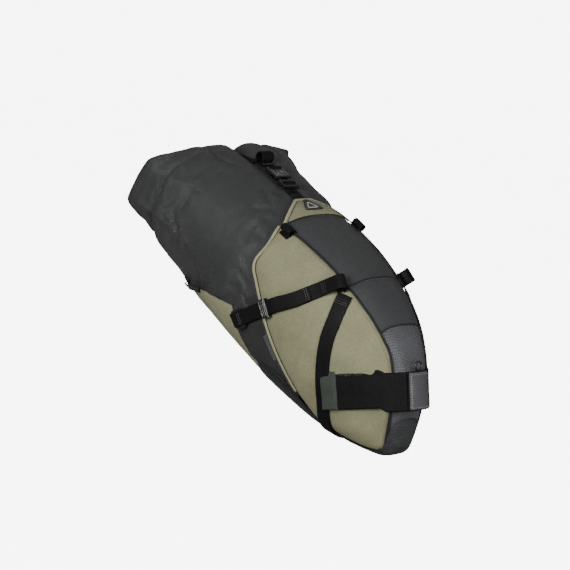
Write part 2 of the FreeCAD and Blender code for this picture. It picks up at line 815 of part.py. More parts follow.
def plate(s0, s1, y0, y1, h0, h1):
    """Box square to the bag frame."""
    middle = ((s0 + s1) / 2, (y0 + y1) / 2, (h0 + h1) / 2)
    return block(middle, (1, 0, 0), (0, 0, 1), (s1 - s0, y1 - y0, h1 - h0))


def buckle_male():
    """Ladder frame with a guide blade and two spring prongs."""
    low = BUCKLE_PLANE
    frame = plate(MALE_START_S, MALE_FRAME_END_S, -BUCKLE_HALF, BUCKLE_HALF, low, low + 6.0)
    frame = frame.makeFillet(1.6, [e for e in frame.Edges if e.Length > 20.0])
    for s in (MALE_START_S + 3.0, MALE_START_S + 9.0):
        frame = frame.cut(plate(s, s + 3.4, -SLOT_HALF, SLOT_HALF, low - 1, low + 8))
    guide = plate(MALE_FRAME_END_S - 1, PRONG_END_S - 4, -3.0, 3.0, low + 1.8, low + 4.6)
    shape = frame.fuse(guide)
    for side in (-1, 1):
        middle = side * 7.7
        prong = plate(MALE_FRAME_END_S - 1, PRONG_END_S, middle - 1.5, middle + 1.5, low + 1.8, low + 5.4)
        shape = shape.fuse(prong)
    return shape


def buckle_female():
    """Housing that the prongs click into, with side windows and a webbing bar."""
    low = BUCKLE_PLANE
    house = plate(FEMALE_START_S, FEMALE_END_S, -BUCKLE_HALF, BUCKLE_HALF, low, low + BUCKLE_TALL)
    house = house.makeFillet(2.2, [e for e in house.Edges if e.Length > 20.0])
    house = house.cut(plate(FEMALE_START_S - 1, PRONG_END_S + 1.5, -9.8, 9.8, low + 1.2, low + 6.2))
    start = FEMALE_START_S + 3.5
    end = PRONG_END_S - 1.5
    for side in (-1, 1):
        middle = side * (BUCKLE_HALF - 1.2)
        house = house.cut(plate(start, end, middle - 3.8, middle + 3.8, low + 2.4, low + 5.4))
    top = low + BUCKLE_TALL + 1
    return house.cut(plate(FEMALE_END_S - 6.4, FEMALE_END_S - 2.4, -SLOT_HALF, SLOT_HALF, low - 1, top))


def closure_height(s):
    """Underside of the closure strap: level with the buckle, then down on to the bag."""
    over_bag = min(top_line(s), SHELL_CEILING) + 0.6
    from_buckle = BUCKLE_PLANE + 2.5 - max(s - FEMALE_END_S - 4.0, 0.0) * 0.25
    return max(over_bag, from_buckle)


def closure_strap():
    """Webbing from the roll, over the top of the bag, to the buckle housing."""
    start = FEMALE_END_S + 0.5
    steps = [start + (CLOSURE_END_S - start) * k / 15 for k in range(16)]
    route = [(s, 0.0, closure_height(s)) for s in steps]
    return ribbon(route, WEB, WEB_THICK, [(0.0, 0.0, 1.0)] * len(route))


def closure_loop():
    """Stand-up webbing loop sewn across the closure strap, to pull the roll by."""
    height = closure_height(CLOSURE_LOOP_S) + WEB_THICK + 0.3 + CLOSURE_LOOP_R
    return tube((CLOSURE_LOOP_S, 0.0, height), (0, 1, 0), CLOSURE_LOOP_R, CLOSURE_LOOP_R - 1.4, WEB)


def base_stiffener():
    """Plastic sheet inside the holster's floor."""
    grid = []
    for i in range(8):
        s = FLOOR_SHEET_START_S + FLOOR_SHEET_LENGTH * i / 7
        grid.append([(s, math.radians(-66.0 - 48.0 * j / 8)) for j in range(9)])
    return patch(grid, FLOOR_SHEET_LAYER, "base_stiffener")


nodes["top_panel"] = top_piece(MID_SEAM_S - LAP, TOP_END_S, 10, 15, LAP, INNER_LAYER, "top_panel")
nodes["saddle_panel"] = top_piece(FRONT_SEAM_S - LAP, MID_SEAM_S - 1, 7, 15, SEAM_SHY, OUTER_LAYER, "saddle_panel")
nodes["front_panel"] = top_piece(TOP_START_S, FRONT_SEAM_S - 1, 15, 13, LAP, INNER_LAYER, "front_panel")
pair("side_panel", side_panel())
nodes["tongue"] = tongue()
nodes["tongue_badge"] = tongue_badge()
nodes["base_front"] = base_front()
nodes["base_rear"] = base_rear()
nodes["nose_cap"] = nose_cap()
nodes["base_hem"] = base_hem()
nodes["base_stiffener"] = base_stiffener()
pair("gusset", gusset())
nodes["gusset_label"] = gusset_label()
pair("seam_piping", strip_along(TOP_SEAM[1:], 2.6, 40, (3.1, 4.5)))
binding_edge = SIDE_EDGE[1:-2] + [BINDING_FOOT]
pair("panel_binding", strip_along(binding_edge, 5.0, 30, (3.05, 3.75), BINDING_SHIFT))
nodes["belly_strap"] = belly_strap()
pair("rail_loop", rail_loop())
pair("accessory_loop", accessory_loop())
pair("strap_anchor", strap_anchor())
nodes["centre_strap"] = centre_strap()
nodes["seatpost_strap"] = seatpost_strap()
nodes["seatpost_patch"] = seatpost_patch()
nodes["seatpost_ring"] = post_ring()
nodes["hook_field"] = hook_field()

# ---- Moving pieces ----------------------------------------------------------

nodes["drybag_shell"] = drybag_shell()
nodes["mouth_collar"] = mouth_collar()
strip = stiffener_strip()
nodes["rolled_end"] = rolled_end().cut(strip)
nodes["roll_stiffener"] = strip
nodes["closure_strap"] = closure_strap()
nodes["closure_loop"] = closure_loop()
nodes["buckle_female"] = buckle_female()
nodes["buckle_male"] = buckle_male()
pair("side_strap", side_strap())
pair("side_strap_tail", side_strap_tail())
pair("side_hook", side_hook())
pair("keeper", keeper())
nodes["seatpost_flap"] = seatpost_flap()
nodes["seatpost_tab"] = seatpost_tab()

os.makedirs("parts", exist_ok=True)
for name, shape in nodes.items():
    shape.exportStep("parts/" + name + ".step")
    print(name, len(shape.Solids), round(shape.Volume), shape.isValid())


def tell(label, point, axis=None):
    """Print a row-frame point and axis for the record, in metres."""
    where = place(point)
    line = [round(c / 1000, 6) for c in (where.x, where.y, where.z)]
    if axis:
        along = place(unit(axis))
        line.append([round(c, 6) for c in (along.x, along.y, along.z)])
    print(label, line)


tell("rail loop right", rail_loop_frame()[0], rail_loop_frame()[3])
tell("keeper right", KEEPER_CENTRE, STRAP_RUN)
tell("accessory loop right", accessory_centre(), (1, 0, 0))
tell("seatpost flap hinge", from_post(POST_HINGE[0], POST_HINGE[1], 0.0), from_post(0, 0, 1))
tell("along the bag", (0, 0, 0), (1, 0, 0))
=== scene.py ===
import math

import bmesh
import bpy
import numpy as np
from mathutils import Matrix, Vector


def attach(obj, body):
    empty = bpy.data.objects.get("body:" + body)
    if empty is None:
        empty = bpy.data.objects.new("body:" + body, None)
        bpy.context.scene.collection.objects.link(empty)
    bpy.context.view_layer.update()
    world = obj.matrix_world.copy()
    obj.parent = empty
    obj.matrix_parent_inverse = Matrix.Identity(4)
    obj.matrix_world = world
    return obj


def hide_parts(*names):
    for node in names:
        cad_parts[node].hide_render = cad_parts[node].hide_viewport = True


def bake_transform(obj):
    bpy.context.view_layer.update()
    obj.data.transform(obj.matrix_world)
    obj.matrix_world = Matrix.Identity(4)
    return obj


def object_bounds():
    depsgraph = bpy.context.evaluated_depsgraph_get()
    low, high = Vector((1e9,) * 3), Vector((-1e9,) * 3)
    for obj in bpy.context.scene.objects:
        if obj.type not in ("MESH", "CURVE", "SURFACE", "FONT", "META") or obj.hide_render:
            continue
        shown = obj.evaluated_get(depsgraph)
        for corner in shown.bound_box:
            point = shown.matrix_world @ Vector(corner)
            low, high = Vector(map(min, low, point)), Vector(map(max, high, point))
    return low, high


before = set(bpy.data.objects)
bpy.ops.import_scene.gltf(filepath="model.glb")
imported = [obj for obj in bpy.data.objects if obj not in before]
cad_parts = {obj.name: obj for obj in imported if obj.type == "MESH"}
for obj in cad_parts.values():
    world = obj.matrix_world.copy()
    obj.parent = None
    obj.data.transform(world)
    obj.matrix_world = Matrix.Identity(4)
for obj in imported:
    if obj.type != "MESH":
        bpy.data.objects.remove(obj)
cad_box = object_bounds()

# Saddle bag looks.  Two frames, as in the CAD: the bag's own frame has s
# rearward along the bag, y to the left and h square to the bag's axis, in
# millimetres; place() turns it into the row frame in metres.

TILT = math.radians(18.0)
POST_LEAN = math.radians(34.0)
MM = 0.001

# Section stations: s, half width, underside, top, squareness.
STATIONS = np.array([
    (-22.0, 18.0, -84.0, -58.0, 3.0),
    (-12.0, 25.0, -91.0, -18.0, 3.0),
    (2.0, 31.0, -97.0, 18.0, 3.0),
    (25.0, 42.0, -104.0, 44.0, 2.9),
    (52.0, 53.0, -110.0, 63.0, 2.8),
    (85.0, 65.0, -116.0, 78.0, 2.6),
    (118.0, 75.0, -118.0, 88.0, 2.5),
    (190.0, 89.0, -116.0, 96.0, 2.5),
    (255.0, 97.0, -110.0, 96.0, 2.4),
    (320.0, 105.0, -101.0, 93.0, 2.3),
    (380.0, 113.0, -86.0, 92.0, 2.3),
    (432.0, 120.0, -55.0, 88.0, 2.8),
    (464.0, 124.0, -20.0, 70.0, 4.5),
    (474.0, 124.0, -8.0, 58.0, 5.5),
])

# Outlines on the right side, as (s, h).
TOP_SEAM = [(252, 81), (220, 84), (182, 84), (148, 81), (120, 76), (95, 70),
            (71, 62), (46, 50), (26, 36), (7, 12), (-6, -18), (-14, -46), (-19, -68)]
SIDE_EDGE = [(252, 81), (241, 61), (240, 35), (222, 17), (203, -1), (187, -18),
             (163, -39), (130, -65), (102, -86), (74, -102)]
SIDE_FOOT = [(74, -102), (50, -102), (26, -98), (6, -92), (-9, -85), (-19, -76)]
BOOT_EDGE = [(188, -84), (174, -78), (147, -75), (123, -80), (97, -90)]
WING = [(345, -72), (322, -59), (299, -49), (273, -43), (249, -36),
        (237, -52), (228, -65), (215, -76), (205, -86), (182, -90)]
FRONT_SEAM_S = 54.0
MID_SEAM_S = 120.0
TONGUE_ROOT_S = 252.0
TONGUE_TIP_S = 291.0
TONGUE_TIP_HALF = 14.0


# ---- The bag's shape --------------------------------------------------------

def monotone(xs, ys):
    """Monotone cubic through the stations, as the CAD uses."""
    steps = np.diff(ys) / np.diff(xs)
    product = steps[:-1] * steps[1:]
    total = steps[:-1] + steps[1:]
    inner = np.where(product > 0, 2 * product / np.where(total == 0, 1, total), 0.0)
    slopes = np.concatenate([steps[:1], inner, steps[-1:]])

    def value(s):
        s = np.clip(np.asarray(s, float), xs[0], xs[-1])
        i = np.clip(np.searchsorted(xs, s, side="right") - 1, 0, len(xs) - 2)
        span = xs[i + 1] - xs[i]
        t = (s - xs[i]) / span
        low = ys[i] * (1 + 2 * t) * (1 - t) ** 2 + slopes[i] * span * t * (1 - t) ** 2
        high = ys[i + 1] * t * t * (3 - 2 * t) + slopes[i + 1] * span * t * t * (t - 1)
        return low + high

    return value


half_width, underside, top_line, squareness = [monotone(STATIONS[:, 0], STATIONS[:, k]) for k in (1, 2, 3, 4)]


def section(s, offset=0.0):
    low = underside(s) - offset
    high = top_line(s) + offset
    return half_width(s) + offset, (high + low) / 2, (high - low) / 2, squareness(s)


def skin(s, bearing, offset=0.0):
    """Points of the skin in the bag frame; bearing 0 is the right side, 90 degrees the top."""
    s, bearing = np.broadcast_arrays(np.asarray(s, float), np.asarray(bearing, float))
    half, centre, rise, power = section(s, offset)
    across, up = np.cos(bearing), np.sin(bearing)
    reach = (np.abs(across) ** power + np.abs(up) ** power) ** (-1.0 / power)
    return np.stack([s, -half * reach * across, centre + rise * reach * up], -1)


def bearing_at_height(s, h):
    _, centre, rise, power = section(s)
    up = np.clip((h - centre) / rise, -1, 1)
    return np.arctan2(up, (1 - np.abs(up) ** power) ** (1 / power))


def bearing_at_width(s, y, upper=True):
    half, _, _, power = section(s)
    across = np.clip(y / half, -1, 1)
    up = (1 - np.abs(across) ** power) ** (1 / power)
    return np.arctan2(up if upper else -up, across)


def settle(points, offset):
    """Moves points in or out, within their section, on to the skin plus an offset."""
    points = np.asarray(points, float)
    half, centre, rise, _ = section(points[..., 0])
    bearing = np.arctan2((points[..., 2] - centre) / rise, -points[..., 1] / half)
    return skin(points[..., 0], bearing, offset)


def place(points):
    """Bag frame in mm to row frame in metres."""
    points = np.asarray(points, float)
    s, y, h = points[..., 0], points[..., 1], points[..., 2]
    x = -s * math.cos(TILT) + h * math.sin(TILT)
    z = s * math.sin(TILT) + h * math.cos(TILT)
    return np.stack([x, y, z], -1) * MM


def from_post(forward, y, up):
    """Seatpost frame (forward, left, up the post) to bag frame."""
    forward, y, up = np.broadcast_arrays(*(np.asarray(v, float) for v in (forward, y, up)))
    s = -forward * math.cos(POST_LEAN) + up * math.sin(POST_LEAN)
    h = forward * math.sin(POST_LEAN) + up * math.cos(POST_LEAN)
    return np.stack([s, y, h], -1)


def unit(v):
    return v / np.maximum(np.linalg.norm(v, axis=-1, keepdims=True), 1e-9)


def outward(points):
    """Outward direction of the skin near each point, in the bag frame."""
    points = np.asarray(points, float)
    half, centre, rise, _ = section(points[..., 0])
    bearing = np.arctan2((points[..., 2] - centre) / rise, -points[..., 1] / half)
    along = skin(points[..., 0] + 1.0, bearing) - skin(points[..., 0] - 1.0, bearing)
    around = skin(points[..., 0], bearing + 0.01) - skin(points[..., 0], bearing - 0.01)
    normal = unit(np.cross(along, around))
    radial = np.stack([np.zeros_like(half), points[..., 1], points[..., 2] - centre], -1)
    sign = np.sign(np.sum(normal * radial, -1, keepdims=True))
    return normal * np.where(sign == 0, 1, sign)


def catmull(points, count):
    """Even points along a smooth curve through a short list of points."""
    points = np.asarray(points, float)
    padded = np.vstack([2 * points[0] - points[1], points, 2 * points[-1] - points[-2]])
    t = np.linspace(0, 1, 24, endpoint=False)[:, None]
    runs = []
    for a, b, c, d in zip(padded, padded[1:], padded[2:], padded[3:]):
        runs.append(0.5 * (2 * b + (c - a) * t + (2 * a - 5 * b + 4 * c - d) * t ** 2
                           + (3 * b - a - 3 * c + d) * t ** 3))
    dense = np.vstack(runs + [points[-1:]])
    return resample(dense, count)


def resample(dense, count):
    length = np.concatenate([[0], np.cumsum(np.linalg.norm(np.diff(dense, axis=0), axis=1))])
    wanted = np.linspace(0, length[-1], count)
    return np.stack([np.interp(wanted, length, dense[:, k]) for k in range(dense.shape[1])], -1)


def side_outline(handles, count):
    """(s, h) handles on the right side to even (s, bearing) points."""
    handles = np.asarray(handles, float)
    bearings = bearing_at_height(handles[:, 0], handles[:, 1])
    even = catmull(np.stack([handles[:, 0], bearings * 90.0], -1), count)
    return np.stack([even[:, 0], even[:, 1] / 90.0], -1)


# ---- Mesh helpers -----------------------------------------------------------

def new_object(name, verts, faces, uvs=None, smooth=True):
    """Mesh object from row-frame vertices; uvs holds one (u, v) in metres per vertex."""
    mesh = bpy.data.meshes.new(name)
    mesh.from_pydata([tuple(v) for v in verts], [], [tuple(f) for f in faces])
    mesh.validate()
    if uvs is not None:
        layer = mesh.uv_layers.new(name="UVMap")
        loops = np.zeros(len(mesh.loops), int)
        mesh.loops.foreach_get("vertex_index", loops)
        layer.data.foreach_set("uv", np.asarray(uvs, float)[loops].ravel())
    if smooth:
        mesh.polygons.foreach_set("use_smooth", [True] * len(mesh.polygons))
    mesh.update()
    obj = bpy.data.objects.new(name, mesh)
    bpy.context.scene.collection.objects.link(obj)
    return obj


def grid_faces(ni, nj, start=0, flip=False, wrap=False):
    faces = []
    for i in range(ni - 1):
        for j in range(nj if wrap else nj - 1):
            k = (j + 1) % nj
            near, far = start + i * nj, start + (i + 1) * nj
            quad = [near + j, far + j, far + k, near + k]
            faces.append(quad[::-1] if flip else quad)
    return faces


def arc_uv(points):
    """(u, v) in metres from the lengths of a grid's rows and columns."""
    du = np.linalg.norm(np.diff(points, axis=0), axis=-1)
    dv = np.linalg.norm(np.diff(points, axis=1), axis=-1)
    u = np.concatenate([np.zeros((1, points.shape[1])), np.cumsum(du, 0)], 0)
    v = np.concatenate([np.zeros((points.shape[0], 1)), np.cumsum(dv, 1)], 1)
    u -= u[u.shape[0] // 2]
    v -= v[:, v.shape[1] // 2][:, None]
    return np.stack([u, v], -1) * MM


def edge_distance(points):
    """Distance in mm from each grid point to the nearest of the four edges, and to each edge."""
    du = np.linalg.norm(np.diff(points, axis=0), axis=-1)
    dv = np.linalg.norm(np.diff(points, axis=1), axis=-1)
    u = np.concatenate([np.zeros((1, points.shape[1])), np.cumsum(du, 0)], 0)
    v = np.concatenate([np.zeros((points.shape[0], 1)), np.cumsum(dv, 1)], 1)
    edges = [u, u[-1:] - u, v, v[:, -1:] - v]
    return np.minimum.reduce(edges), edges


def grid_normals(points):
    along = np.gradient(points, axis=0)
    around = np.gradient(points, axis=1)
    return unit(np.cross(along, around))


def ripple(points, seed, sizes=((60, 1.0), (28, 0.5), (13, 0.22))):
    """Smooth repeatable unevenness over bag-frame points, about -1 to 1."""
    rng = np.random.default_rng(seed)
    total = np.zeros(points.shape[:-1])
    for size, weight in sizes:
        for _ in range(5):
            direction = unit(rng.normal(size=3))
            phase = rng.uniform(0, 2 * math.pi)
            bend = unit(rng.normal(size=3))
            warp = 0.8 * np.sin(points @ bend * 2 * math.pi / (size * 2.3) + phase * 1.7)
            total += weight * np.sin(points @ direction * 2 * math.pi / size + phase + warp) / 5
    return total


def sheet_panel(name, points, thick, relief=None, edge_round=1.0, material=None):
    """Closed cloth panel: a grid of outer points with rolled edges and a back face."""
    normals = grid_normals(points)
    inside = np.array([points[..., 0].mean(), 0.0, -8.0])
    if np.mean(np.sum(normals * (points - inside), -1)) < 0:
        normals = -normals
    nearest, _ = edge_distance(points)
    roll = np.clip(1 - nearest / edge_round, 0, 1)
    drop = thick * 0.75 * (1 - np.sqrt(np.clip(1 - roll ** 2, 0, 1)))
    height = -drop + (relief if relief is not None else 0.0)
    front = points + normals * height[..., None]
    back = points - normals * thick
    ni, nj = points.shape[:2]
    uv = arc_uv(points)
    verts = np.vstack([place(front).reshape(-1, 3), place(back).reshape(-1, 3)])
    uvs = np.vstack([uv.reshape(-1, 2), uv.reshape(-1, 2)])
    faces = grid_faces(ni, nj) + grid_faces(ni, nj, ni * nj, True)
    rim = [(i, 0) for i in range(ni)] + [(ni - 1, j) for j in range(1, nj)]
    rim += [(i, nj - 1) for i in range(ni - 2, -1, -1)] + [(0, j) for j in range(nj - 2, 0, -1)]
    ring = [i * nj + j for i, j in rim]
    for a, b in zip(ring, ring[1:] + ring[:1]):
        faces.append((a, a + ni * nj, b + ni * nj, b))
    obj = new_object(name, verts, faces, uvs)
    fix_normals(obj)
    if material:
        obj.data.materials.append(material)
    return obj


def fix_normals(obj):
    work = bmesh.new()
    work.from_mesh(obj.data)
    bmesh.ops.recalc_face_normals(work, faces=work.faces)
    work.to_mesh(obj.data)
    work.free()


def mirror_copy(obj, name):
    """Mirror image across the middle plane, as a new object with the same material."""
    mesh = obj.data.copy()
    mesh.name = name
    mesh.transform(Matrix.Scale(-1, 4, (0, 1, 0)))
    mesh.flip_normals()
    other = bpy.data.objects.new(name, mesh)
    bpy.context.scene.collection.objects.link(other)
    return other


WEB_PROFILE = [(-0.5, 0.30), (-0.485, 0.85), (-0.44, 1.0), (-0.25, 1.04), (0.0, 1.05),
               (0.25, 1.04), (0.44, 1.0), (0.485, 0.85), (0.5, 0.30), (0.485, 0.05),
               (0.44, 0.0), (0.0, 0.0), (-0.44, 0.0), (-0.485, 0.05)]


def strap(name, route, normals, width, thick, material=None, widths=None):
    """Strip of webbing whose underside follows the route; every row has a rounded section."""
    route = np.asarray(route, float)
    along = unit(np.gradient(route, axis=0))
    normals = np.asarray(normals, float)
    normals = unit(normals - along * np.sum(normals * along, -1, keepdims=True))
    side = unit(np.cross(along, normals))
    length = np.concatenate([[0], np.cumsum(np.linalg.norm(np.diff(route, axis=0), axis=1))])
    profile = np.array(WEB_PROFILE)
    wide = np.full(len(route), width) if widths is None else widths
    rows = (route[:, None] + side[:, None] * profile[None, :, :1] * wide[:, None, None]
            + normals[:, None] * profile[None, :, 1:] * thick)
    n, m = rows.shape[:2]
    faces = grid_faces(n, m, wrap=True)
    faces.append(list(range(m)))
    faces.append([(n - 1) * m + k for k in range(m)][::-1])
    u = np.repeat(length[:, None], m, 1) * MM
    v = profile[None, :, 0] * wide[:, None] * MM
    obj = new_object(name, place(rows).reshape(-1, 3), faces, np.stack([u, v], -1).reshape(-1, 2))
    fix_normals(obj)
    if material:
        obj.data.materials.append(material)
    return obj


def tube(name, route, radius, material=None, sides=10):
    """Round tube along bag-frame points."""
    route = np.asarray(route, float)
    along = unit(np.gradient(route, axis=0))
    normal = outward(route)
    normal = unit(normal - along * np.sum(normal * along, -1, keepdims=True))
    side = np.cross(along, normal)
    angle = np.linspace(0, 2 * math.pi, sides, endpoint=False)
    rows = route[:, None] + radius * (side[:, None] * np.cos(angle)[None, :, None]
                                      + normal[:, None] * np.sin(angle)[None, :, None])
    n = len(route)
    faces = grid_faces(n, sides, wrap=True)
    faces.append(list(range(sides)))
    faces.append([(n - 1) * sides + k for k in range(sides)][::-1])
    length = np.concatenate([[0], np.cumsum(np.linalg.norm(np.diff(route, axis=0), axis=1))])
    u = np.repeat(length[:, None], sides, 1) * MM
    v = np.repeat((angle * radius)[None], n, 0) * MM
    obj = new_object(name, place(rows).reshape(-1, 3), faces, np.stack([u, v], -1).reshape(-1, 2))
    fix_normals(obj)
    if material:
        obj.data.materials.append(material)
    return obj


def stitches(name, route, normals, material, stitch=2.6, gap=1.3, radius=0.32, lift=0.1):
    """Row of sewn stitches: a short fat thread for each, half sunk in the cloth."""
    route = np.asarray(route, float)
    length = np.concatenate([[0], np.cumsum(np.linalg.norm(np.diff(route, axis=0), axis=1))])
    count = max(int(length[-1] / (stitch + gap)), 1)
    starts = (np.arange(count) + 0.5) * length[-1] / count - stitch / 2

    def at(array, where):
        return np.stack([np.interp(where, length, array[:, k]) for k in range(3)], -1)

    begin, end = at(route, starts), at(route, starts + stitch)
    normal = unit(at(np.asarray(normals, float), starts + stitch / 2))
    along = unit(end - begin)
    side = np.cross(along, normal)
    verts, faces = [], []
    rings = ((0.0, 0.25, -0.3), (0.2, 0.95, 0.35), (0.5, 1.0, 0.6), (0.8, 0.95, 0.35), (1.0, 0.25, -0.3))
    sides = 5
    angle = np.linspace(0, 2 * math.pi, sides, endpoint=False)
    for t, fat, rise in rings:
        middle = begin + (end - begin) * t + normal * (rise * radius + lift)
        ring = middle[:, None] + radius * fat * (side[:, None] * np.cos(angle)[None, :, None]
                                                 + normal[:, None] * np.sin(angle)[None, :, None])
        verts.append(ring)
    verts = np.stack(verts, 1)
    per = len(rings) * sides
    for k in range(count):
        faces += grid_faces(len(rings), sides, k * per, wrap=True)
        faces.append([k * per + i for i in range(sides)])
        faces.append([k * per + per - 1 - i for i in range(sides)])
    obj = new_object(name, place(verts).reshape(-1, 3), faces)
    fix_normals(obj)
    obj.data.materials.append(material)
    return obj


def join(name, objects):
    """One object from several."""
    bpy.ops.object.select_all(action="DESELECT")
    for obj in objects:
        obj.select_set(True)
    bpy.context.view_layer.objects.active = objects[0]
    bpy.ops.object.join()
    objects[0].name = name
    objects[0].data.name = name
    return objects[0]


# ---- Materials --------------------------------------------------------------

def srgb(red, green, blue):
    """Screen colour 0 to 255 as linear RGBA."""
    values = []
    for value in (red, green, blue):
        c = value / 255.0
        values.append(c / 12.92 if c <= 0.04045 else ((c + 0.055) / 1.055) ** 2.4)
    return (*values, 1.0)


def new_shader(name, **sockets):
    """Material with one Principled shader, its uniform sockets set directly."""
    material = bpy.data.materials.new(name)
    material.use_nodes = True
    shader = material.node_tree.nodes["Principled BSDF"]
    for socket, value in sockets.items():
        shader.inputs[socket.replace("_", " ")].default_value = value
    return material, material.node_tree, shader


def calc(tree, kind, first, second=0.0, clamp=False):
    node = tree.nodes.new("ShaderNodeMath")
    node.operation = kind
    node.use_clamp = clamp
    for index, value in enumerate((first, second)):
        if isinstance(value, (int, float)):
            node.inputs[index].default_value = value
        else:
            tree.links.new(value, node.inputs[index])
    return node.outputs[0]


def mix_colour(tree, factor, first, second):
    node = tree.nodes.new("ShaderNodeMix")
    node.data_type = "RGBA"
    tree.links.new(factor, node.inputs["Factor"])
    for key, value in ((6, first), (7, second)):
        if isinstance(value, tuple):
            node.inputs[key].default_value = value
        else:
            tree.links.new(value, node.inputs[key])
    return node.outputs[2]


def noise(tree, size, detail=3.0, roughness=0.55, stretch=(1, 1, 1)):
    """Noise over the object's own coordinates; size is the blob size in metres."""
    where = tree.nodes.new("ShaderNodeTexCoord")
    mapping = tree.nodes.new("ShaderNodeMapping")
    mapping.inputs["Scale"].default_value = [k / size for k in stretch]
    tree.links.new(where.outputs["Object"], mapping.inputs["Vector"])
    node = tree.nodes.new("ShaderNodeTexNoise")
    node.inputs["Scale"].default_value = 1.0
    node.inputs["Detail"].default_value = detail
    node.inputs["Roughness"].default_value = roughness
    tree.links.new(mapping.outputs[0], node.inputs["Vector"])
    return node.outputs["Fac"]


def spread_factor(tree, value, low, high):
    node = tree.nodes.new("ShaderNodeMapRange")
    node.clamp = True
    node.inputs["From Min"].default_value = low
    node.inputs["From Max"].default_value = high
    tree.links.new(value, node.inputs["Value"])
    return node.outputs[0]


def uv_axes(tree, pitch_u, pitch_v, turn=0.0):
    """UV in metres divided by thread pitches in mm."""
    where = tree.nodes.new("ShaderNodeUVMap")
    where.uv_map = "UVMap"
    mapping = tree.nodes.new("ShaderNodeMapping")
    mapping.inputs["Rotation"].default_value = (0, 0, turn)
    tree.links.new(where.outputs[0], mapping.inputs["Vector"])
    split = tree.nodes.new("ShaderNodeSeparateXYZ")
    tree.links.new(mapping.outputs[0], split.inputs[0])
    u = calc(tree, "MULTIPLY", split.outputs[0], 1000.0 / pitch_u)
    v = calc(tree, "MULTIPLY", split.outputs[1], 1000.0 / pitch_v)
    return u, v


def plain_weave(tree, u, v):
    """Over-and-under threads, 0 to 1."""
    su = calc(tree, "SINE", calc(tree, "MULTIPLY", u, math.pi))
    sv = calc(tree, "SINE", calc(tree, "MULTIPLY", v, math.pi))
    over = calc(tree, "GREATER_THAN", calc(tree, "MULTIPLY", su, sv), 0.0)
    under = calc(tree, "SUBTRACT", 1.0, over)
    first = calc(tree, "MULTIPLY", over, calc(tree, "ABSOLUTE", su))
    second = calc(tree, "MULTIPLY", under, calc(tree, "ABSOLUTE", sv))
    return calc(tree, "ADD", first, second)


def rib_weave(tree, u, v):
    """Webbing: strong ribs across the strip, cut by finer lengthwise threads."""
    rib = calc(tree, "ABSOLUTE", calc(tree, "SINE", calc(tree, "MULTIPLY", u, math.pi)))
    shifted = calc(tree, "ADD", calc(tree, "MULTIPLY", v, math.pi),
                   calc(tree, "MULTIPLY", calc(tree, "FLOOR", u), math.pi / 2))
    thread = calc(tree, "ABSOLUTE", calc(tree, "SINE", shifted))
    return calc(tree, "ADD", calc(tree, "MULTIPLY", rib, 0.65), calc(tree, "MULTIPLY", thread, 0.35))


def ripstop(tree, u, v, every):
    """Raised grid of doubled threads, one square every so many threads."""
    lines = []
    for axis in (u, v):
        phase = calc(tree, "FRACT", calc(tree, "MULTIPLY", axis, 1.0 / every))
        away = calc(tree, "ABSOLUTE", calc(tree, "SUBTRACT", phase, 0.5))
        lines.append(calc(tree, "GREATER_THAN", away, 0.5 - 0.6 / every))
    return calc(tree, "MAXIMUM", *lines)


def dots(tree, u, v):
    """Embossed round studs in offset rows, 0 to 1."""
    shift = calc(tree, "MULTIPLY", calc(tree, "MODULO", calc(tree, "FLOOR", v), 2.0), 0.5)
    fu = calc(tree, "SUBTRACT", calc(tree, "FRACT", calc(tree, "ADD", u, shift)), 0.5)
    fv = calc(tree, "SUBTRACT", calc(tree, "FRACT", v), 0.5)
    square = calc(tree, "ADD", calc(tree, "MULTIPLY", fu, fu), calc(tree, "MULTIPLY", fv, fv))
    return calc(tree, "SUBTRACT", 1.0, calc(tree, "MULTIPLY", square, 6.0), clamp=True)


def add_bump(tree, shader, height, distance, strength=1.0):
    """Bump in metres, stacked on any bump the shader already has."""
    bump = tree.nodes.new("ShaderNodeBump")
    bump.inputs["Strength"].default_value = strength
    bump.inputs["Distance"].default_value = distance
    tree.links.new(height, bump.inputs["Height"])
    socket = shader.inputs["Normal"]
    if socket.is_linked:
        tree.links.new(socket.links[0].from_socket, bump.inputs["Normal"])
    tree.links.new(bump.outputs[0], socket)


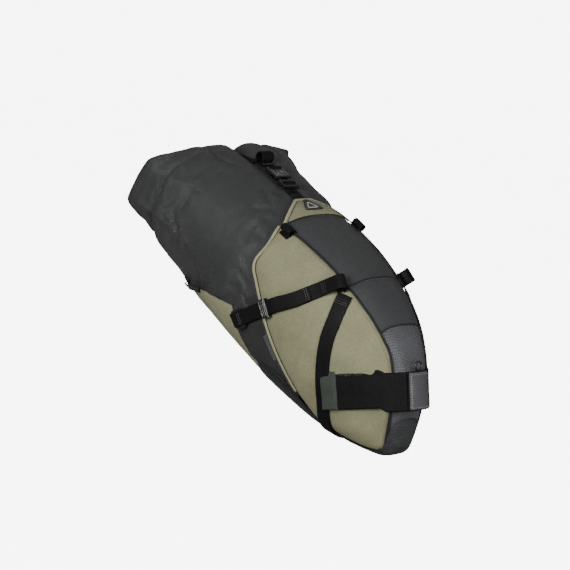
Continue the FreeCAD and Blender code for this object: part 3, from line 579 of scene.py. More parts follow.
def cloth(name, dark, light, rough, weave, pitch, thread_depth, turn=0.0, sheen=0.03, specular=0.18,
          contrast=0.35, creases=0.0004, rip_every=0, rip_shade=0.3, grime=0.12):
    """Woven fabric: thread relief, slow colour drift, small creases and dulled patches."""
    material, tree, shader = new_shader(
        name, Sheen_Weight=sheen, Sheen_Roughness=0.45, Specular_IOR_Level=specular)
    u, v = uv_axes(tree, pitch[0], pitch[1], turn)
    threads = weave(tree, u, v)
    drift = noise(tree, 0.055, 4.0)
    fine = noise(tree, 0.0022, 2.0, 0.7)
    mixed = calc(tree, "ADD", calc(tree, "MULTIPLY", threads, contrast),
                 calc(tree, "MULTIPLY", drift, 0.75 - contrast / 2))
    uneven = calc(tree, "MULTIPLY", calc(tree, "SUBTRACT", fine, 0.5), 0.5)
    mixed = calc(tree, "ADD", mixed, uneven, clamp=True)
    if rip_every:
        rip_lines = ripstop(tree, u, v, rip_every)
        mixed = calc(tree, "ADD", mixed, calc(tree, "MULTIPLY", rip_lines, rip_shade), clamp=True)
    colour = mix_colour(tree, mixed, dark, light)
    dust = spread_factor(tree, noise(tree, 0.024, 6.0, 0.7), 0.52, 0.75)
    dusty = calc(tree, "MULTIPLY", dust, grime)
    pale = tuple(min(c * 1.5 + 0.02, 1.0) for c in light[:3]) + (1.0,)
    tree.links.new(mix_colour(tree, dusty, colour, pale), shader.inputs["Base Color"])
    patchy = calc(tree, "MULTIPLY", calc(tree, "SUBTRACT", noise(tree, 0.03, 3.0), 0.5), 0.25)
    worn = calc(tree, "MULTIPLY", calc(tree, "SUBTRACT", 0.5, threads), 0.12)
    tree.links.new(calc(tree, "ADD", calc(tree, "ADD", patchy, worn), rough), shader.inputs["Roughness"])
    add_bump(tree, shader, threads, thread_depth)
    if rip_every:
        add_bump(tree, shader, ripstop(tree, u, v, rip_every), thread_depth * 0.9)
    add_bump(tree, shader, noise(tree, 0.012, 5.0, 0.6), creases)
    return material


def plastic(name, colour, rough, grain=0.00002):
    """Moulded plastic with faint flow marks and scuffs."""
    material, tree, shader = new_shader(name, Specular_IOR_Level=0.6, Coat_Weight=0.5, Coat_Roughness=0.12)
    pale = tuple(min(c * 1.6 + 0.012, 1.0) for c in colour[:3]) + (1.0,)
    scuffs = spread_factor(tree, noise(tree, 0.004, 6.0, 0.75, (1, 3, 1)), 0.55, 0.72)
    scuffed = mix_colour(tree, calc(tree, "MULTIPLY", scuffs, 0.4), colour, pale)
    tree.links.new(scuffed, shader.inputs["Base Color"])
    tree.links.new(calc(tree, "ADD", calc(tree, "MULTIPLY", scuffs, 0.25), rough), shader.inputs["Roughness"])
    add_bump(tree, shader, noise(tree, 0.0011, 3.0), grain)
    return material


def metal(name, colour, rough):
    """Plated wire with fine drawn lines and a few dull spots."""
    material, tree, shader = new_shader(name, Metallic=1.0)
    lines = noise(tree, 0.0006, 2.0, 0.6, (1, 8, 1))
    dull = tuple(c * 0.55 for c in colour[:3]) + (1.0,)
    tree.links.new(mix_colour(tree, noise(tree, 0.004, 4.0), colour, dull), shader.inputs["Base Color"])
    tree.links.new(calc(tree, "ADD", calc(tree, "MULTIPLY", lines, 0.25), rough), shader.inputs["Roughness"])
    add_bump(tree, shader, lines, 0.00002)
    return material


def thread_material(name, dark, light):
    """Twisted sewing thread."""
    material, tree, shader = new_shader(name, Sheen_Weight=0.3, Specular_IOR_Level=0.3)
    ply = noise(tree, 0.0005, 2.0, 0.6)
    tree.links.new(mix_colour(tree, ply, dark, light), shader.inputs["Base Color"])
    tree.links.new(calc(tree, "ADD", calc(tree, "MULTIPLY", ply, 0.2), 0.55), shader.inputs["Roughness"])
    add_bump(tree, shader, ply, 0.0001)
    return material


KHAKI = cloth("khaki_cloth", srgb(80, 79, 57), srgb(150, 148, 118), 0.72, plain_weave, (1.3, 1.3), 0.00020,
              turn=math.radians(40), contrast=0.34, grime=0.08)
KHAKI_EDGE = cloth("khaki_binding_cloth", srgb(118, 116, 88), srgb(156, 154, 124), 0.65, rib_weave,
                   (0.8, 0.8), 0.00012, contrast=0.3)
GREY = cloth("grey_ripstop", srgb(12, 13, 14), srgb(56, 57, 58), 0.55, plain_weave, (1.7, 1.7), 0.00034,
             turn=math.radians(12), rip_every=2, rip_shade=0.6, contrast=0.55)
EMBOSSED = cloth("embossed_grip_cloth", srgb(38, 39, 41), srgb(98, 99, 103), 0.40, dots, (3.4, 2.4), 0.00045,
                 specular=0.4, contrast=0.55, grime=0.05)
BOOT = cloth("boot_cloth", srgb(16, 16, 16), srgb(34, 34, 34), 0.55, plain_weave, (1.3, 1.3), 0.00014,
             specular=0.25, contrast=0.3)
DRY = cloth("dry_bag_ripstop", srgb(8, 9, 9), srgb(50, 51, 51), 0.44, plain_weave, (1.7, 1.7), 0.00034,
            specular=0.26, rip_every=2, rip_shade=0.6, contrast=0.55, creases=0.0010, grime=0.05)
MESH_CLOTH = cloth("gusset_mesh", srgb(26, 26, 27), srgb(58, 58, 58), 0.7, dots, (1.3, 1.1), 0.0003,
                   contrast=0.6)
PIPING_CLOTH = cloth("piping_cloth", srgb(18, 18, 19), srgb(38, 38, 39), 0.6, rib_weave, (0.9, 0.9), 0.00012)
WEBBING = cloth("nylon_webbing", srgb(4, 4, 4), srgb(20, 19, 20), 0.6, rib_weave, (2.0, 1.6), 0.00022,
                specular=0.1, sheen=0.0, contrast=0.5, creases=0.0003, grime=0.05)
POST_WEBBING = cloth("seatpost_webbing", srgb(4, 4, 4), srgb(18, 17, 17), 0.62, rib_weave, (2.4, 1.9), 0.0003,
                     specular=0.1, sheen=0.0, contrast=0.5, creases=0.0003, grime=0.05)
TAB_CLOTH = cloth("tab_cloth", srgb(34, 38, 34), srgb(60, 65, 59), 0.6, plain_weave, (0.9, 0.9), 0.0001)
PILE = cloth("loop_pile_cloth", srgb(10, 10, 10), srgb(34, 34, 34), 0.9, dots, (1.1, 0.9), 0.0006, sheen=0.15)
LABEL = cloth("label_cloth", srgb(52, 52, 54), srgb(84, 84, 86), 0.55, rib_weave, (0.6, 0.6), 0.00008)
BUCKLE = plastic("buckle_acetal", srgb(14, 14, 15), 0.28)
# Lighter grey plastic on the buckle's raised ring, ribs and side edges: a painted highlight standing in for
# the gloss highlights on the dark buckle.
BUCKLE_PAINTED_HIGHLIGHT = plastic("buckle_acetal_painted_highlight", srgb(66, 66, 68), 0.25)
SHEET_PLASTIC = plastic("stiffener_sheet", srgb(24, 24, 25), 0.5, 0.00006)
RUBBER = plastic("badge_rubber_black", srgb(16, 16, 17), 0.5, 0.00008)
PALE_RUBBER = plastic("badge_rubber_grey", srgb(168, 168, 168), 0.5, 0.00008)
WIRE = metal("blackened_wire", srgb(74, 74, 77), 0.34)
DARK_THREAD = thread_material("dark_thread", srgb(16, 16, 16), srgb(44, 44, 44))
KHAKI_THREAD = thread_material("khaki_thread", srgb(70, 69, 56), srgb(112, 110, 92))
PALE_THREAD = thread_material("pale_thread", srgb(112, 110, 104), srgb(168, 166, 158))
GREY_THREAD = thread_material("grey_thread", srgb(50, 50, 52), srgb(84, 84, 86))


def fit(obj, body, finish, *nodes):
    """A piece rides on its body and stands for CAD nodes, which are hidden; finish is not used."""
    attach(obj, body)
    if nodes:
        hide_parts(*nodes)
    return obj


def fit_pair(make, name, body, finish, nodes=(), sided_body=False):
    """Builds the right piece, mirrors it, and fits both."""
    right = make(name + "_right")
    left = mirror_copy(right, name + "_left")
    for side, obj in (("right", right), ("left", left)):
        where = body + "_" + side if sided_body else body
        fit(obj, where, finish, *[n + "_" + side for n in nodes])
    return right, left


# ---- Outlines on the skin ---------------------------------------------------

def smoothstep(t):
    t = np.clip(t, 0, 1)
    return t * t * (3 - 2 * t)


def on_skin(outline, offset):
    """(s, bearing) points to bag-frame points."""
    outline = np.asarray(outline, float)
    return skin(outline[..., 0], outline[..., 1], offset)


def between(lower, upper, rows):
    """Grid of (s, bearing) from one outline to another of the same length."""
    t = np.linspace(0, 1, rows)[:, None, None]
    return lower[None] * (1 - t) + upper[None] * t


def shifted(route, shift, offset):
    """A route on the skin moved sideways by shift mm."""
    route = np.asarray(route, float)
    along = unit(np.gradient(route, axis=0))
    side = np.cross(along, outward(route))
    return settle(route + side * shift, offset)


def seam_bearing(s):
    """Bearing of the top seam on the right side."""
    line = np.array(TOP_SEAM[::-1], float)
    return bearing_at_height(s, np.interp(s, line[:, 0], line[:, 1]))


def even_stations(start, end, count):
    """Stations spread evenly along the bag's top line."""
    s = np.linspace(start, end, 400)
    line = resample(np.stack([s, top_line(s)], -1), count)
    return line[:, 0]


def bar_tack(name, centre, along, normal, width, material, rows=3, length=6.0):
    """Dense zigzag of thread across a strap end."""
    along, normal = unit(np.asarray(along, float)), unit(np.asarray(normal, float))
    side = np.cross(along, normal)
    pieces = []
    for k in range(rows):
        offset = (k - (rows - 1) / 2) * length / max(rows - 1, 1)
        ends = np.linspace(-width / 2, width / 2, 30)
        route = np.asarray(centre) + along * offset + side * ends[:, None]
        pieces.append(stitches(name + str(k), route, np.tile(normal, (30, 1)), material, 1.5, 0.5, 0.35))
    return join(name, pieces)


# ---- Dry bag ----------------------------------------------------------------

SHELL_FLOOR = -95.0
SHELL_CEILING = 93.5
FOLD_PRESSURE = 1.6
FOLD_SLACK = 0.045
FOLD_FRAMES = 20
FOLD_CAP = 3.5
FOLD_SPREAD = 60
FOLD_GAIN = 1.1
# The rear end: stations, how far the underside hangs below its section, and how square it is.
REAR_STATIONS = (380.0, 400.0, 430.0, 447.0, 460.0, 474.0)
REAR_DROP = (0.0, 2.0, 4.0, 7.0, 11.5, 15.0)
REAR_POWER_ABOVE = (2.3, 2.4, 2.6, 3.0, 5.0, 12.0)
REAR_POWER_BELOW = (2.3, 2.4, 2.9, 4.2, 7.0, 14.0)
REAR_LEAN_BELOW = 0.3
# The side ridge runs level, then sweeps down to the rear corner: degrees, and the station it turns at.
RIDGE_BEARING = -5.0
RIDGE_FALL = 32.0
RIDGE_TURN_S = 370.0
RIDGE_POWER = 1.75
BAG_START_S = 16.0
ROLL_START_S = 447.0
ROLL_END_S = 474.0
LEAN_PIVOT = 20.0


def holster_reach(bearing):
    """Station where the holster lets go of the dry bag, at each bearing."""
    side = np.where(np.cos(bearing) >= 0, bearing, math.pi - bearing)
    side = np.arctan2(np.sin(side), np.cos(side))
    knots = np.radians([-90, -58, -40, -28, -12, 4, 20, 40, 58, 70, 90])
    reach = [350, 345, 285, 252, 205, 222, 240, 246, 262, 285, 292]
    return np.interp(side, knots, reach)


def bag_section(s, bearing, offset):
    """Dry bag skin: the section clipped by the holster's flat floor and the ceiling."""
    half, centre, _, power = section(s)
    up_reach = np.minimum(top_line(s), SHELL_CEILING) + offset - centre
    down_reach = centre - np.maximum(underside(s), SHELL_FLOOR) + offset
    down_reach = down_reach + np.interp(s, REAR_STATIONS, REAR_DROP)
    across, up = np.cos(bearing), np.sin(bearing)
    upper_power = np.interp(s, REAR_STATIONS, REAR_POWER_ABOVE)
    lower_power = np.interp(s, REAR_STATIONS, REAR_POWER_BELOW)
    blend = smoothstep((s - 380.0) / 20.0)
    power = power + (np.where(up > 0, upper_power, lower_power) - power) * blend
    reach = (np.abs(across) ** power + np.abs(up) ** power) ** (-1.0 / power)
    h = centre + np.where(up > 0, up_reach, down_reach) * reach * up
    lean = 0.27 * smoothstep((s - ROLL_START_S) / (ROLL_END_S - ROLL_START_S))
    lean = lean * np.where(h < LEAN_PIVOT, REAR_LEAN_BELOW, 1.0)
    return np.stack([s - lean * (h - LEAN_PIVOT), -(half + offset) * reach * across, h], -1)


def strap_zone(s, y, bearing):
    """1 where the closure strap, its buckle or its loop lies on the cloth, 0 away from them."""
    top = smoothstep(np.sin(bearing) * 4.0)
    ahead = smoothstep((ROLL_START_S + 8.0 - s) / 40.0)
    return top * np.exp(-(y / 17.0) ** 6) * smoothstep((s - 286.0) / 8.0) * ahead


def bag_relief(s, bearing, points):
    """How far the stuffed cloth stands off its section, in mm."""
    side = np.where(np.cos(bearing) >= 0, bearing, math.pi - bearing)
    side = np.arctan2(np.sin(side), np.cos(side))
    y = points[..., 1]
    free = smoothstep((s - holster_reach(bearing) - 2.0) / 26.0)
    rear = smoothstep((s - 385.0) / 75.0)
    upper = smoothstep(np.sin(bearing) * 2.0)
    relief = 2.2 * free * (1 - rear)
    # The closure strap pulls the middle down, and the cloth puffs up either side of it.
    pulled = smoothstep((s - 352.0) / 84.0)
    valley = np.exp(-np.abs(y / 12.5) ** 3)
    puff = np.exp(-((np.abs(y) - 30.0) / 14.0) ** 2)
    relief += upper * pulled * (3.0 * puff - 13.0 * valley)
    relief += upper * rear * -2.0 * np.exp(-(y / 26.0) ** 2)
    fold_y = 30.0 + 20.0 * smoothstep((s - 356.0) / 60.0)
    fold = np.exp(-((np.abs(y) - fold_y) / 4.5) ** 2)
    fold = fold * smoothstep((s - 380.0) / 25.0) * smoothstep((462.0 - s) / 30.0)
    relief += upper * fold * -2.4
    relief += upper * np.exp(-((np.abs(y) - fold_y - 13.0) / 9.0) ** 2) * smoothstep((s - 370.0) / 30.0) * 1.8
    # A crisp ridge runs down each side, with a flatter strip under it.
    sweep = np.clip((s - RIDGE_TURN_S) / (ROLL_END_S - RIDGE_TURN_S), 0, 1)
    ridge_at = np.radians(RIDGE_BEARING - RIDGE_FALL * sweep ** RIDGE_POWER)
    crest = smoothstep((s - 285.0) / 40.0) * smoothstep((472.0 - s) / 24.0)
    strip = np.maximum(ridge_at + 0.75, 0.15)
    below = np.clip((ridge_at - side) / strip, 0, 1)
    above = np.clip((side - ridge_at) / 0.72, 0, 1)
    spine = 1.6 * np.exp(-((side - ridge_at) / 0.09) ** 2)
    hollow = 16.5 * strip ** 2 * 4 * below * (1 - below)
    relief += free * crest * (spine - hollow)
    relief += free * crest * -2.6 * 4 * above * (1 - above)
    # Pinch in the ridge, with four short folds running out of it.
    away_s, away_b = s - 379.0, (side - np.radians(-1.5)) * 110.0
    near = np.hypot(away_s, away_b)
    relief -= free * 3.0 * np.exp(-(near / 5.0) ** 2)
    spokes = np.cos(4 * np.arctan2(away_b, away_s))
    relief += free * 0.9 * spokes * np.exp(-((near - 15.0) / 11.0) ** 2)
    # Folds that run back from the holster's edge and along the bag.
    along = np.stack([s * 0.28, points[..., 1], points[..., 2]], -1)
    relief += free * 1.5 * ripple(along, 7, ((46, 1.0), (23, 0.6)))
    across_fold = np.stack([s, points[..., 1] * 0.35, points[..., 2] * 0.35], -1)
    relief += free * 0.7 * ripple(across_fold, 11, ((34, 1.0), (15, 0.5)))
    pucker = np.exp(-((s - holster_reach(bearing) - 16.0) / 12.0) ** 2)
    relief += free * pucker * 1.1 * np.sin(bearing * 26.0 + 1.3 * np.sin(bearing * 7.0))
    under_strap = strap_zone(s, y, bearing)
    return np.where(relief > -0.4, relief * (1 - under_strap) - 0.4 * under_strap, relief)


def cloth_folds(points, stations, bearing):
    """Simulated slack in the stuffed cloth: movement in mm for each grid point behind the holster.
    The cloth is held inside the holster, at the roll and under the closure strap, grown a little
    and blown up, so that it buckles into folds."""
    rows = np.where((stations > 196.0) & (stations < ROLL_START_S + 2.0))[0]
    coarse = points[rows][:, ::2]
    ni, nj = coarse.shape[:2]
    mesh = bpy.data.meshes.new("cloth_folds")
    mesh.from_pydata([tuple(v) for v in place(coarse).reshape(-1, 3)], [], grid_faces(ni, nj, wrap=True))
    mesh.update()
    obj = bpy.data.objects.new("cloth_folds", mesh)
    bpy.context.scene.collection.objects.link(obj)
    fix_normals(obj)
    s = np.broadcast_to(stations[rows][:, None], (ni, nj))
    angle = np.broadcast_to(bearing[::2][None], (ni, nj))
    free = smoothstep((s - holster_reach(angle) - 3.0) / 16.0) * smoothstep((ROLL_START_S - 2.0 - s) / 14.0)
    strap_hold = (np.abs(coarse[..., 1]) < 9.0) & (np.sin(angle) > 0) & (s > 385.0)
    held = np.where(strap_hold, 1.0, 1.0 - free)
    group = obj.vertex_groups.new(name="held")
    for index, weight in enumerate(held.ravel()):
        if weight > 0.01:
            group.add([index], float(weight), "REPLACE")
    modifier = obj.modifiers.new("Cloth", "CLOTH")
    settings = modifier.settings
    settings.quality = 6
    settings.mass = 0.12
    settings.tension_stiffness = 18.0
    settings.compression_stiffness = 18.0
    settings.shear_stiffness = 6.0
    settings.bending_stiffness = 0.35
    settings.use_pressure = True
    settings.uniform_pressure_force = FOLD_PRESSURE
    settings.shrink_min = -FOLD_SLACK
    settings.vertex_group_mass = "held"
    settings.pin_stiffness = 1.0
    settings.effector_weights.gravity = 0.0
    modifier.collision_settings.use_collision = False
    modifier.point_cache.frame_start = 1
    modifier.point_cache.frame_end = FOLD_FRAMES
    scene = bpy.context.scene
    for frame_number in range(1, FOLD_FRAMES + 1):
        scene.frame_set(frame_number)
    shape = obj.evaluated_get(bpy.context.evaluated_depsgraph_get()).to_mesh()
    moved = np.empty(ni * nj * 3, np.float32)
    shape.vertices.foreach_get("co", moved)
    move = (moved.reshape(ni, nj, 3) - place(coarse)) / MM
    scene.frame_set(1)
    bpy.data.objects.remove(obj)
    # Only the folds are kept: the slow swelling would round the bag off.
    swell = move.copy()
    for _ in range(FOLD_SPREAD):
        swell = (np.roll(swell, 1, 1) + 2 * swell + np.roll(swell, -1, 1)) / 4
        swell[1:-1] = (swell[:-2] + 2 * swell[1:-1] + swell[2:]) / 4
    move = (move - swell) * FOLD_GAIN * free[..., None]
    move *= (1 - strap_zone(s, coarse[..., 1], angle))[..., None]
    size = np.linalg.norm(move, axis=-1, keepdims=True)
    move *= np.minimum(1.0, FOLD_CAP / np.maximum(size, 1e-6))
    doubled = np.empty((ni, nj * 2, 3))
    doubled[:, ::2] = move
    doubled[:, 1::2] = (move + np.roll(move, -1, 1)) / 2
    for _ in range(2):
        doubled = (np.roll(doubled, 1, 1) + 2 * doubled + np.roll(doubled, -1, 1)) / 4
        doubled[1:-1] = (doubled[:-2] + 2 * doubled[1:-1] + doubled[2:]) / 4
    # Row-frame movement turned back into the bag's own frame.
    x, y, z = doubled[..., 0], doubled[..., 1], doubled[..., 2]
    rearward = -x * math.cos(TILT) + z * math.sin(TILT)
    upward = x * math.sin(TILT) + z * math.cos(TILT)
    back = np.stack([rearward, y, upward], -1)
    folds = np.zeros(points.shape)
    folds[rows] = back
    return folds


def wrapped_grid(name, points, smooth=True):
    """Closed tube of rows, its first and last rows closed by a face each; UVs in metres."""
    ni, nj = points.shape[:2]
    looped = np.concatenate([points, points[:, :1]], 1)
    uv = arc_uv(looped)
    faces = grid_faces(ni, nj, wrap=True)
    faces.append(list(range(nj)))
    faces.append([(ni - 1) * nj + k for k in range(nj)][::-1])
    mesh = bpy.data.meshes.new(name)
    mesh.from_pydata([tuple(v) for v in place(points).reshape(-1, 3)], [], [tuple(f) for f in faces])
    layer = mesh.uv_layers.new(name="UVMap")
    coords = []
    for i in range(ni - 1):
        for j in range(nj):
            coords += [uv[i, j], uv[i + 1, j], uv[i + 1, j + 1], uv[i, j + 1]]
    coords += [uv[0, k] for k in range(nj)]
    coords += [uv[ni - 1, k] for k in range(nj)][::-1]
    layer.data.foreach_set("uv", np.array(coords).ravel())
    mesh.polygons.foreach_set("use_smooth", [smooth] * len(mesh.polygons))
    mesh.update()
    obj = bpy.data.objects.new(name, mesh)
    bpy.context.scene.collection.objects.link(obj)
    fix_normals(obj)
    return obj


def dry_bag():
    """One skin from the bag's nose to its rolled end."""
    around = np.linspace(-math.pi / 2, 1.5 * math.pi, 300, endpoint=False)
    stations = np.concatenate([np.linspace(BAG_START_S, 200, 36, endpoint=False),
                               np.linspace(200, ROLL_START_S, 110, endpoint=False),
                               np.linspace(ROLL_START_S, ROLL_END_S, 14)])
    s, bearing = np.meshgrid(stations, around, indexing="ij")
    points = bag_section(s, bearing, 0.0)
    # Rounded rear corners, so that the end reads as folded cloth.
    t = np.clip((s - ROLL_START_S) / (ROLL_END_S - ROLL_START_S), 0, 1)
    relief = bag_relief(s, bearing, points)
    radial = points - np.stack([points[..., 0], 0 * s, section(s)[1]], -1)
    radial[..., 0] = 0
    points = points + unit(radial) * relief[..., None]
    points = points + cloth_folds(points, stations, around)
    shrink = 1 - 0.014 * (1 - np.sqrt(np.clip(1 - t ** 12, 0, 1)))
    centre_h = section(np.full_like(s, ROLL_END_S))[1]
    points[..., 1] *= shrink
    points[..., 2] = centre_h + (points[..., 2] - centre_h) * np.where(t > 0, shrink, 1)
    rows = [points]
    # The end's face: rolled layers lie across it, pulled in under the strap.
    rim = points[-1]
    hub = np.array([rim[:, 0].mean(), 0.0, rim[:, 2].mean()])
    for k in range(1, 26):
        f = 1 - k / 26.0
        row = hub + (rim - hub) * f
        high = (row[:, 2] - hub[2]) / 33.0
        bulge = 5.0 * (1 - f ** 2)
        layers = -2.6 * np.exp(-((high - 0.28) / 0.07) ** 2) - 2.2 * np.exp(-((high + 0.30) / 0.07) ** 2)
        layers += 1.2 * np.sin(high * 9.0)
        pull = -5.0 * np.exp(-(row[:, 1] / 14.0) ** 2)
        edge = smoothstep((1 - f) * 7)
        row = row + np.array([1.0, 0, 0]) * (bulge + edge * (layers + pull))[:, None]
        row[:, 0] += edge * 0.8 * np.sin(row[:, 1] / 9.0 + 2.0 * np.sin(row[:, 2] / 11.0))
        rows.append(row[None])
    nose = points[0]
    nose_hub = np.array([nose[:, 0].mean() - 5.0, 0.0, nose[:, 2].mean()])
    front = []
    for k in range(1, 9):
        f = 1 - k / 9.0
        front.append((nose_hub + (nose - nose_hub) * np.array([1 - f, f, f]) * [1, 1, 1])[None])
    for k, row in enumerate(front):
        f = 1 - (k + 1) / 9.0
        row[0, :, 0] = nose[:, 0] - 5.0 * (1 - f ** 2)
    whole = np.concatenate(front[::-1] + rows, 0)
    obj = wrapped_grid("dry_bag_cloth", whole)
    obj.data.materials.append(DRY)
    return obj, whole


# ---- Holster panels ---------------------------------------------------------

OUTER = 2.8
INNER = 1.4


def padded_relief(points, puff, seed, wrinkle=0.35, valley=5.0):
    """Foam-backed panel: low at its seams, full inside, with slight unevenness."""
    nearest, _ = edge_distance(points)
    return puff * (1 - np.exp(-nearest / valley)) - puff * 0.5 + wrinkle * ripple(points, seed)


def side_panel(name):
    lower = side_outline(SIDE_EDGE[1:] + SIDE_FOOT[1:], 240)
    upper = side_outline(TOP_SEAM, 240)
    points = on_skin(between(lower, upper, 90), OUTER)
    relief = padded_relief(points, 2.0, 21, 0.5, 8.0)
    # The belly strap and the side strap press shallow grooves.
    relief += strap_press(points)
    obj = sheet_panel(name, points, 1.0, relief, 1.6, KHAKI)
    return obj


def strap_press(points):
    """Shallow grooves where the straps lie on the right side panel."""
    total = np.zeros(points.shape[:-1])
    for route, depth, width in ((BELLY_LINE, 1.3, 12.0), (SIDE_LINE, 1.0, 13.0)):
        away = np.full(points.shape[:-1], 1e9)
        for p in route[::2]:
            away = np.minimum(away, np.linalg.norm(points - p, axis=-1))
        total -= depth * np.exp(-(away / width) ** 4)
    return total


def crown(start, end, rows, columns, lap):
    """Grid over the top, from seam to seam."""
    stations = even_stations(start, end, rows)
    edge = seam_bearing(stations) - lap / np.maximum(section(stations)[2], 25.0)
    t = np.linspace(0, 1, columns)[None]
    bearing = edge[:, None] + (math.pi - 2 * edge)[:, None] * t
    return np.stack(np.broadcast_arrays(stations[:, None], bearing), -1)


def top_panel():
    points = on_skin(crown(116.0, 258.0, 90, 120, 4.0), INNER)
    relief = padded_relief(points, 1.6, 31, 0.45, 10.0)
    by_seam = np.exp(-((points[..., 0] - MID_SEAM_S) / 16) ** 2)
    relief += 0.7 * np.sin(points[..., 1] / 13.0 + points[..., 0] / 40.0) * by_seam
    sheet = sheet_panel("top_cloth", points, 0.8, relief, 1.0, GREY)
    return fit(sheet, "holster", "grey_fabric", "top_panel")


def saddle_panel():
    points = on_skin(crown(FRONT_SEAM_S - 4.0, MID_SEAM_S - 1.0, 50, 110, -0.8), OUTER - 0.4)
    relief = padded_relief(points, 1.4, 37, 0.35, 6.0)
    sheet = sheet_panel("saddle_cloth", points, 1.0, relief, 1.0, GREY)
    return fit(sheet, "holster", "grey_fabric", "saddle_panel")


def front_panel():
    points = on_skin(crown(-20.0, FRONT_SEAM_S - 1.0, 90, 80, 4.0), INNER)
    relief = padded_relief(points, 1.0, 41, 0.3, 6.0)
    return fit(sheet_panel("front_cloth", points, 0.8, relief, 1.0, EMBOSSED), "holster", "textured_fabric",
               "front_panel")


def nose_cap():
    """Small rounded cap sewn in ahead of the panels."""
    rows = []
    for s, offset in ((-16.5, 1.6), (-16.6, 3.1), (-19.0, 3.3), (-21.2, 2.6), (-23.2, 1.0),
                      (-25.0, -2.0), (-26.2, -6.0), (-26.9, -10.0), (-27.1, -13.0), (-27.2, -16.5)):
        bearing = np.linspace(0, 2 * math.pi, 72, endpoint=False)
        ring = skin(np.full(72, s), bearing, offset)
        ring[:, 0] = s - 1.4
        rows.append(ring)
    obj = wrapped_grid("nose_cap_cloth", np.array(rows))
    obj.data.materials.append(GREY)
    return fit(obj, "holster", "textured_fabric", "nose_cap")


def tongue():
    rows = np.linspace(0, 1, 50)
    s = TONGUE_ROOT_S + (TONGUE_TIP_S - TONGUE_ROOT_S) * rows
    reach = 58.0 + (TONGUE_TIP_HALF - 58.0) * rows ** 1.08
    edge = bearing_at_width(s, reach)
    t = np.linspace(0, 1, 90)[None]
    bearing = edge[:, None] + (math.pi - 2 * edge)[:, None] * t
    points = skin(np.broadcast_to(s[:, None], bearing.shape), bearing, OUTER)
    relief = padded_relief(points, 1.2, 43, 0.25, 5.0)
    sheet = sheet_panel("tongue_cloth", points, 1.2, relief, 1.2, KHAKI)
    return fit(sheet, "holster", "khaki_fabric", "tongue")


def boot():
    """Dark boot under the front, its top edge wrapping up over the side panels."""
    edge = side_outline(BOOT_EDGE + SIDE_FOOT[1:], 130)
    t = np.linspace(0, 1, 120)[None]
    bearing = edge[:, 1:] + (-math.pi - 2 * edge[:, 1:]) * t
    points = skin(np.broadcast_to(edge[:, :1], bearing.shape), bearing, 4.3)
    relief = padded_relief(points, 0.8, 47, 0.5, 6.0)
    sheet = sheet_panel("boot_cloth_shell", points, 1.1, relief, 1.3, BOOT)
    return fit(sheet, "holster", "boot_fabric", "base_front")


def cradle():
    """Khaki cradle behind the boot, with a wing up each side."""
    stations = np.linspace(182.0, 345.0, 110)
    wing = np.array(WING[::-1], float)
    edge = bearing_at_height(stations, np.interp(stations, wing[:, 0], wing[:, 1]))
    t = np.linspace(0, 1, 130)[None]
    bearing = edge[:, None] + (-math.pi - 2 * edge)[:, None] * t
    points = skin(np.broadcast_to(stations[:, None], bearing.shape), bearing, OUTER)
    relief = padded_relief(points, 1.2, 53, 0.7, 7.0)
    sheet = sheet_panel("cradle_cloth", points, 1.0, relief, 1.4, KHAKI)
    return fit(sheet, "holster", "khaki_fabric", "base_rear")


def hem():
    """Dark binding folded round the cradle's rear edge."""
    stations = np.linspace(342.0, 352.0, 12)
    edge = bearing_at_height(stations, np.full(12, -60.0))
    t = np.linspace(0, 1, 130)[None]
    bearing = edge[:, None] + (-math.pi - 2 * edge)[:, None] * t
    points = skin(np.broadcast_to(stations[:, None], bearing.shape), bearing, 3.4)
    across = np.linspace(-1, 1, 12)[:, None]
    relief = 0.9 * (1 - across ** 2) - 0.4 + 0.25 * ripple(points, 59, ((18, 1.0), (8, 0.5)))
    sheet = sheet_panel("hem_binding", points, 2.4, relief, 1.4, BOOT)
    return fit(sheet, "holster", "boot_fabric", "base_hem")


def wing_binding(name):
    """Dark binding along the rear part of the cradle's wing."""
    stations = np.linspace(351.0, 311.0, 40)
    wing = np.array(WING[::-1], float)
    height = np.interp(stations, wing[:, 0], wing[:, 1]) + 1.5
    route = skin(stations, bearing_at_height(stations, height), 4.6)
    band = strap(name, route, outward(route), 8.0, 2.2, BOOT)
    seam = stitches(name + "_seam", shifted(route, 3.0, 7.0), outward(route), DARK_THREAD, 2.4, 1.2, 0.3)
    return join(name, [band, seam])


GUSSET_UPPER = [(212, 12), (203, 2), (187, -14), (163, -34), (130, -60), (104, -81)]
GUSSET_LOWER = [(252, -38), (238, -58), (222, -75), (205, -90), (174, -84), (147, -82), (118, -90)]


def gusset(name):
    points = on_skin(between(side_outline(GUSSET_LOWER, 110), side_outline(GUSSET_UPPER, 110), 50), INNER)
    relief = padded_relief(points, 0.8, 61, 0.3, 6.0)
    folds = 0.9 * np.sin((points[..., 0] * 0.8 + points[..., 2]) / 6.5)
    nearest, _ = edge_distance(points)
    relief += folds * smoothstep(nearest / 12.0) * 0.6
    return sheet_panel(name, points, 0.8, relief, 0.8, MESH_CLOTH)


# ---- Seams and trims --------------------------------------------------------

def edge_route(handles, count, shift, offset):
    return shifted(on_skin(side_outline(handles, count), offset), shift, offset)


def panel_binding(name):
    """Folded binding along the side panel's rear edge, with its row of stitches."""
    route = edge_route(SIDE_EDGE[:-2] + [(113, -77.6)], 150, -2.4, 2.75)
    band = strap(name, route, outward(route), 3.8, 0.9, KHAKI_EDGE)
    line = edge_route(SIDE_EDGE[:-2] + [(113, -77.6)], 260, -5.6, 3.35)
    groove = tube(name + "_cord", line, 0.55, DARK_THREAD, 6)
    seam = stitches(name + "_seam", shifted(route, 0.6, 3.5), outward(route), KHAKI_THREAD, 2.2, 1.2, 0.22)
    return join(name, [band, groove, seam])


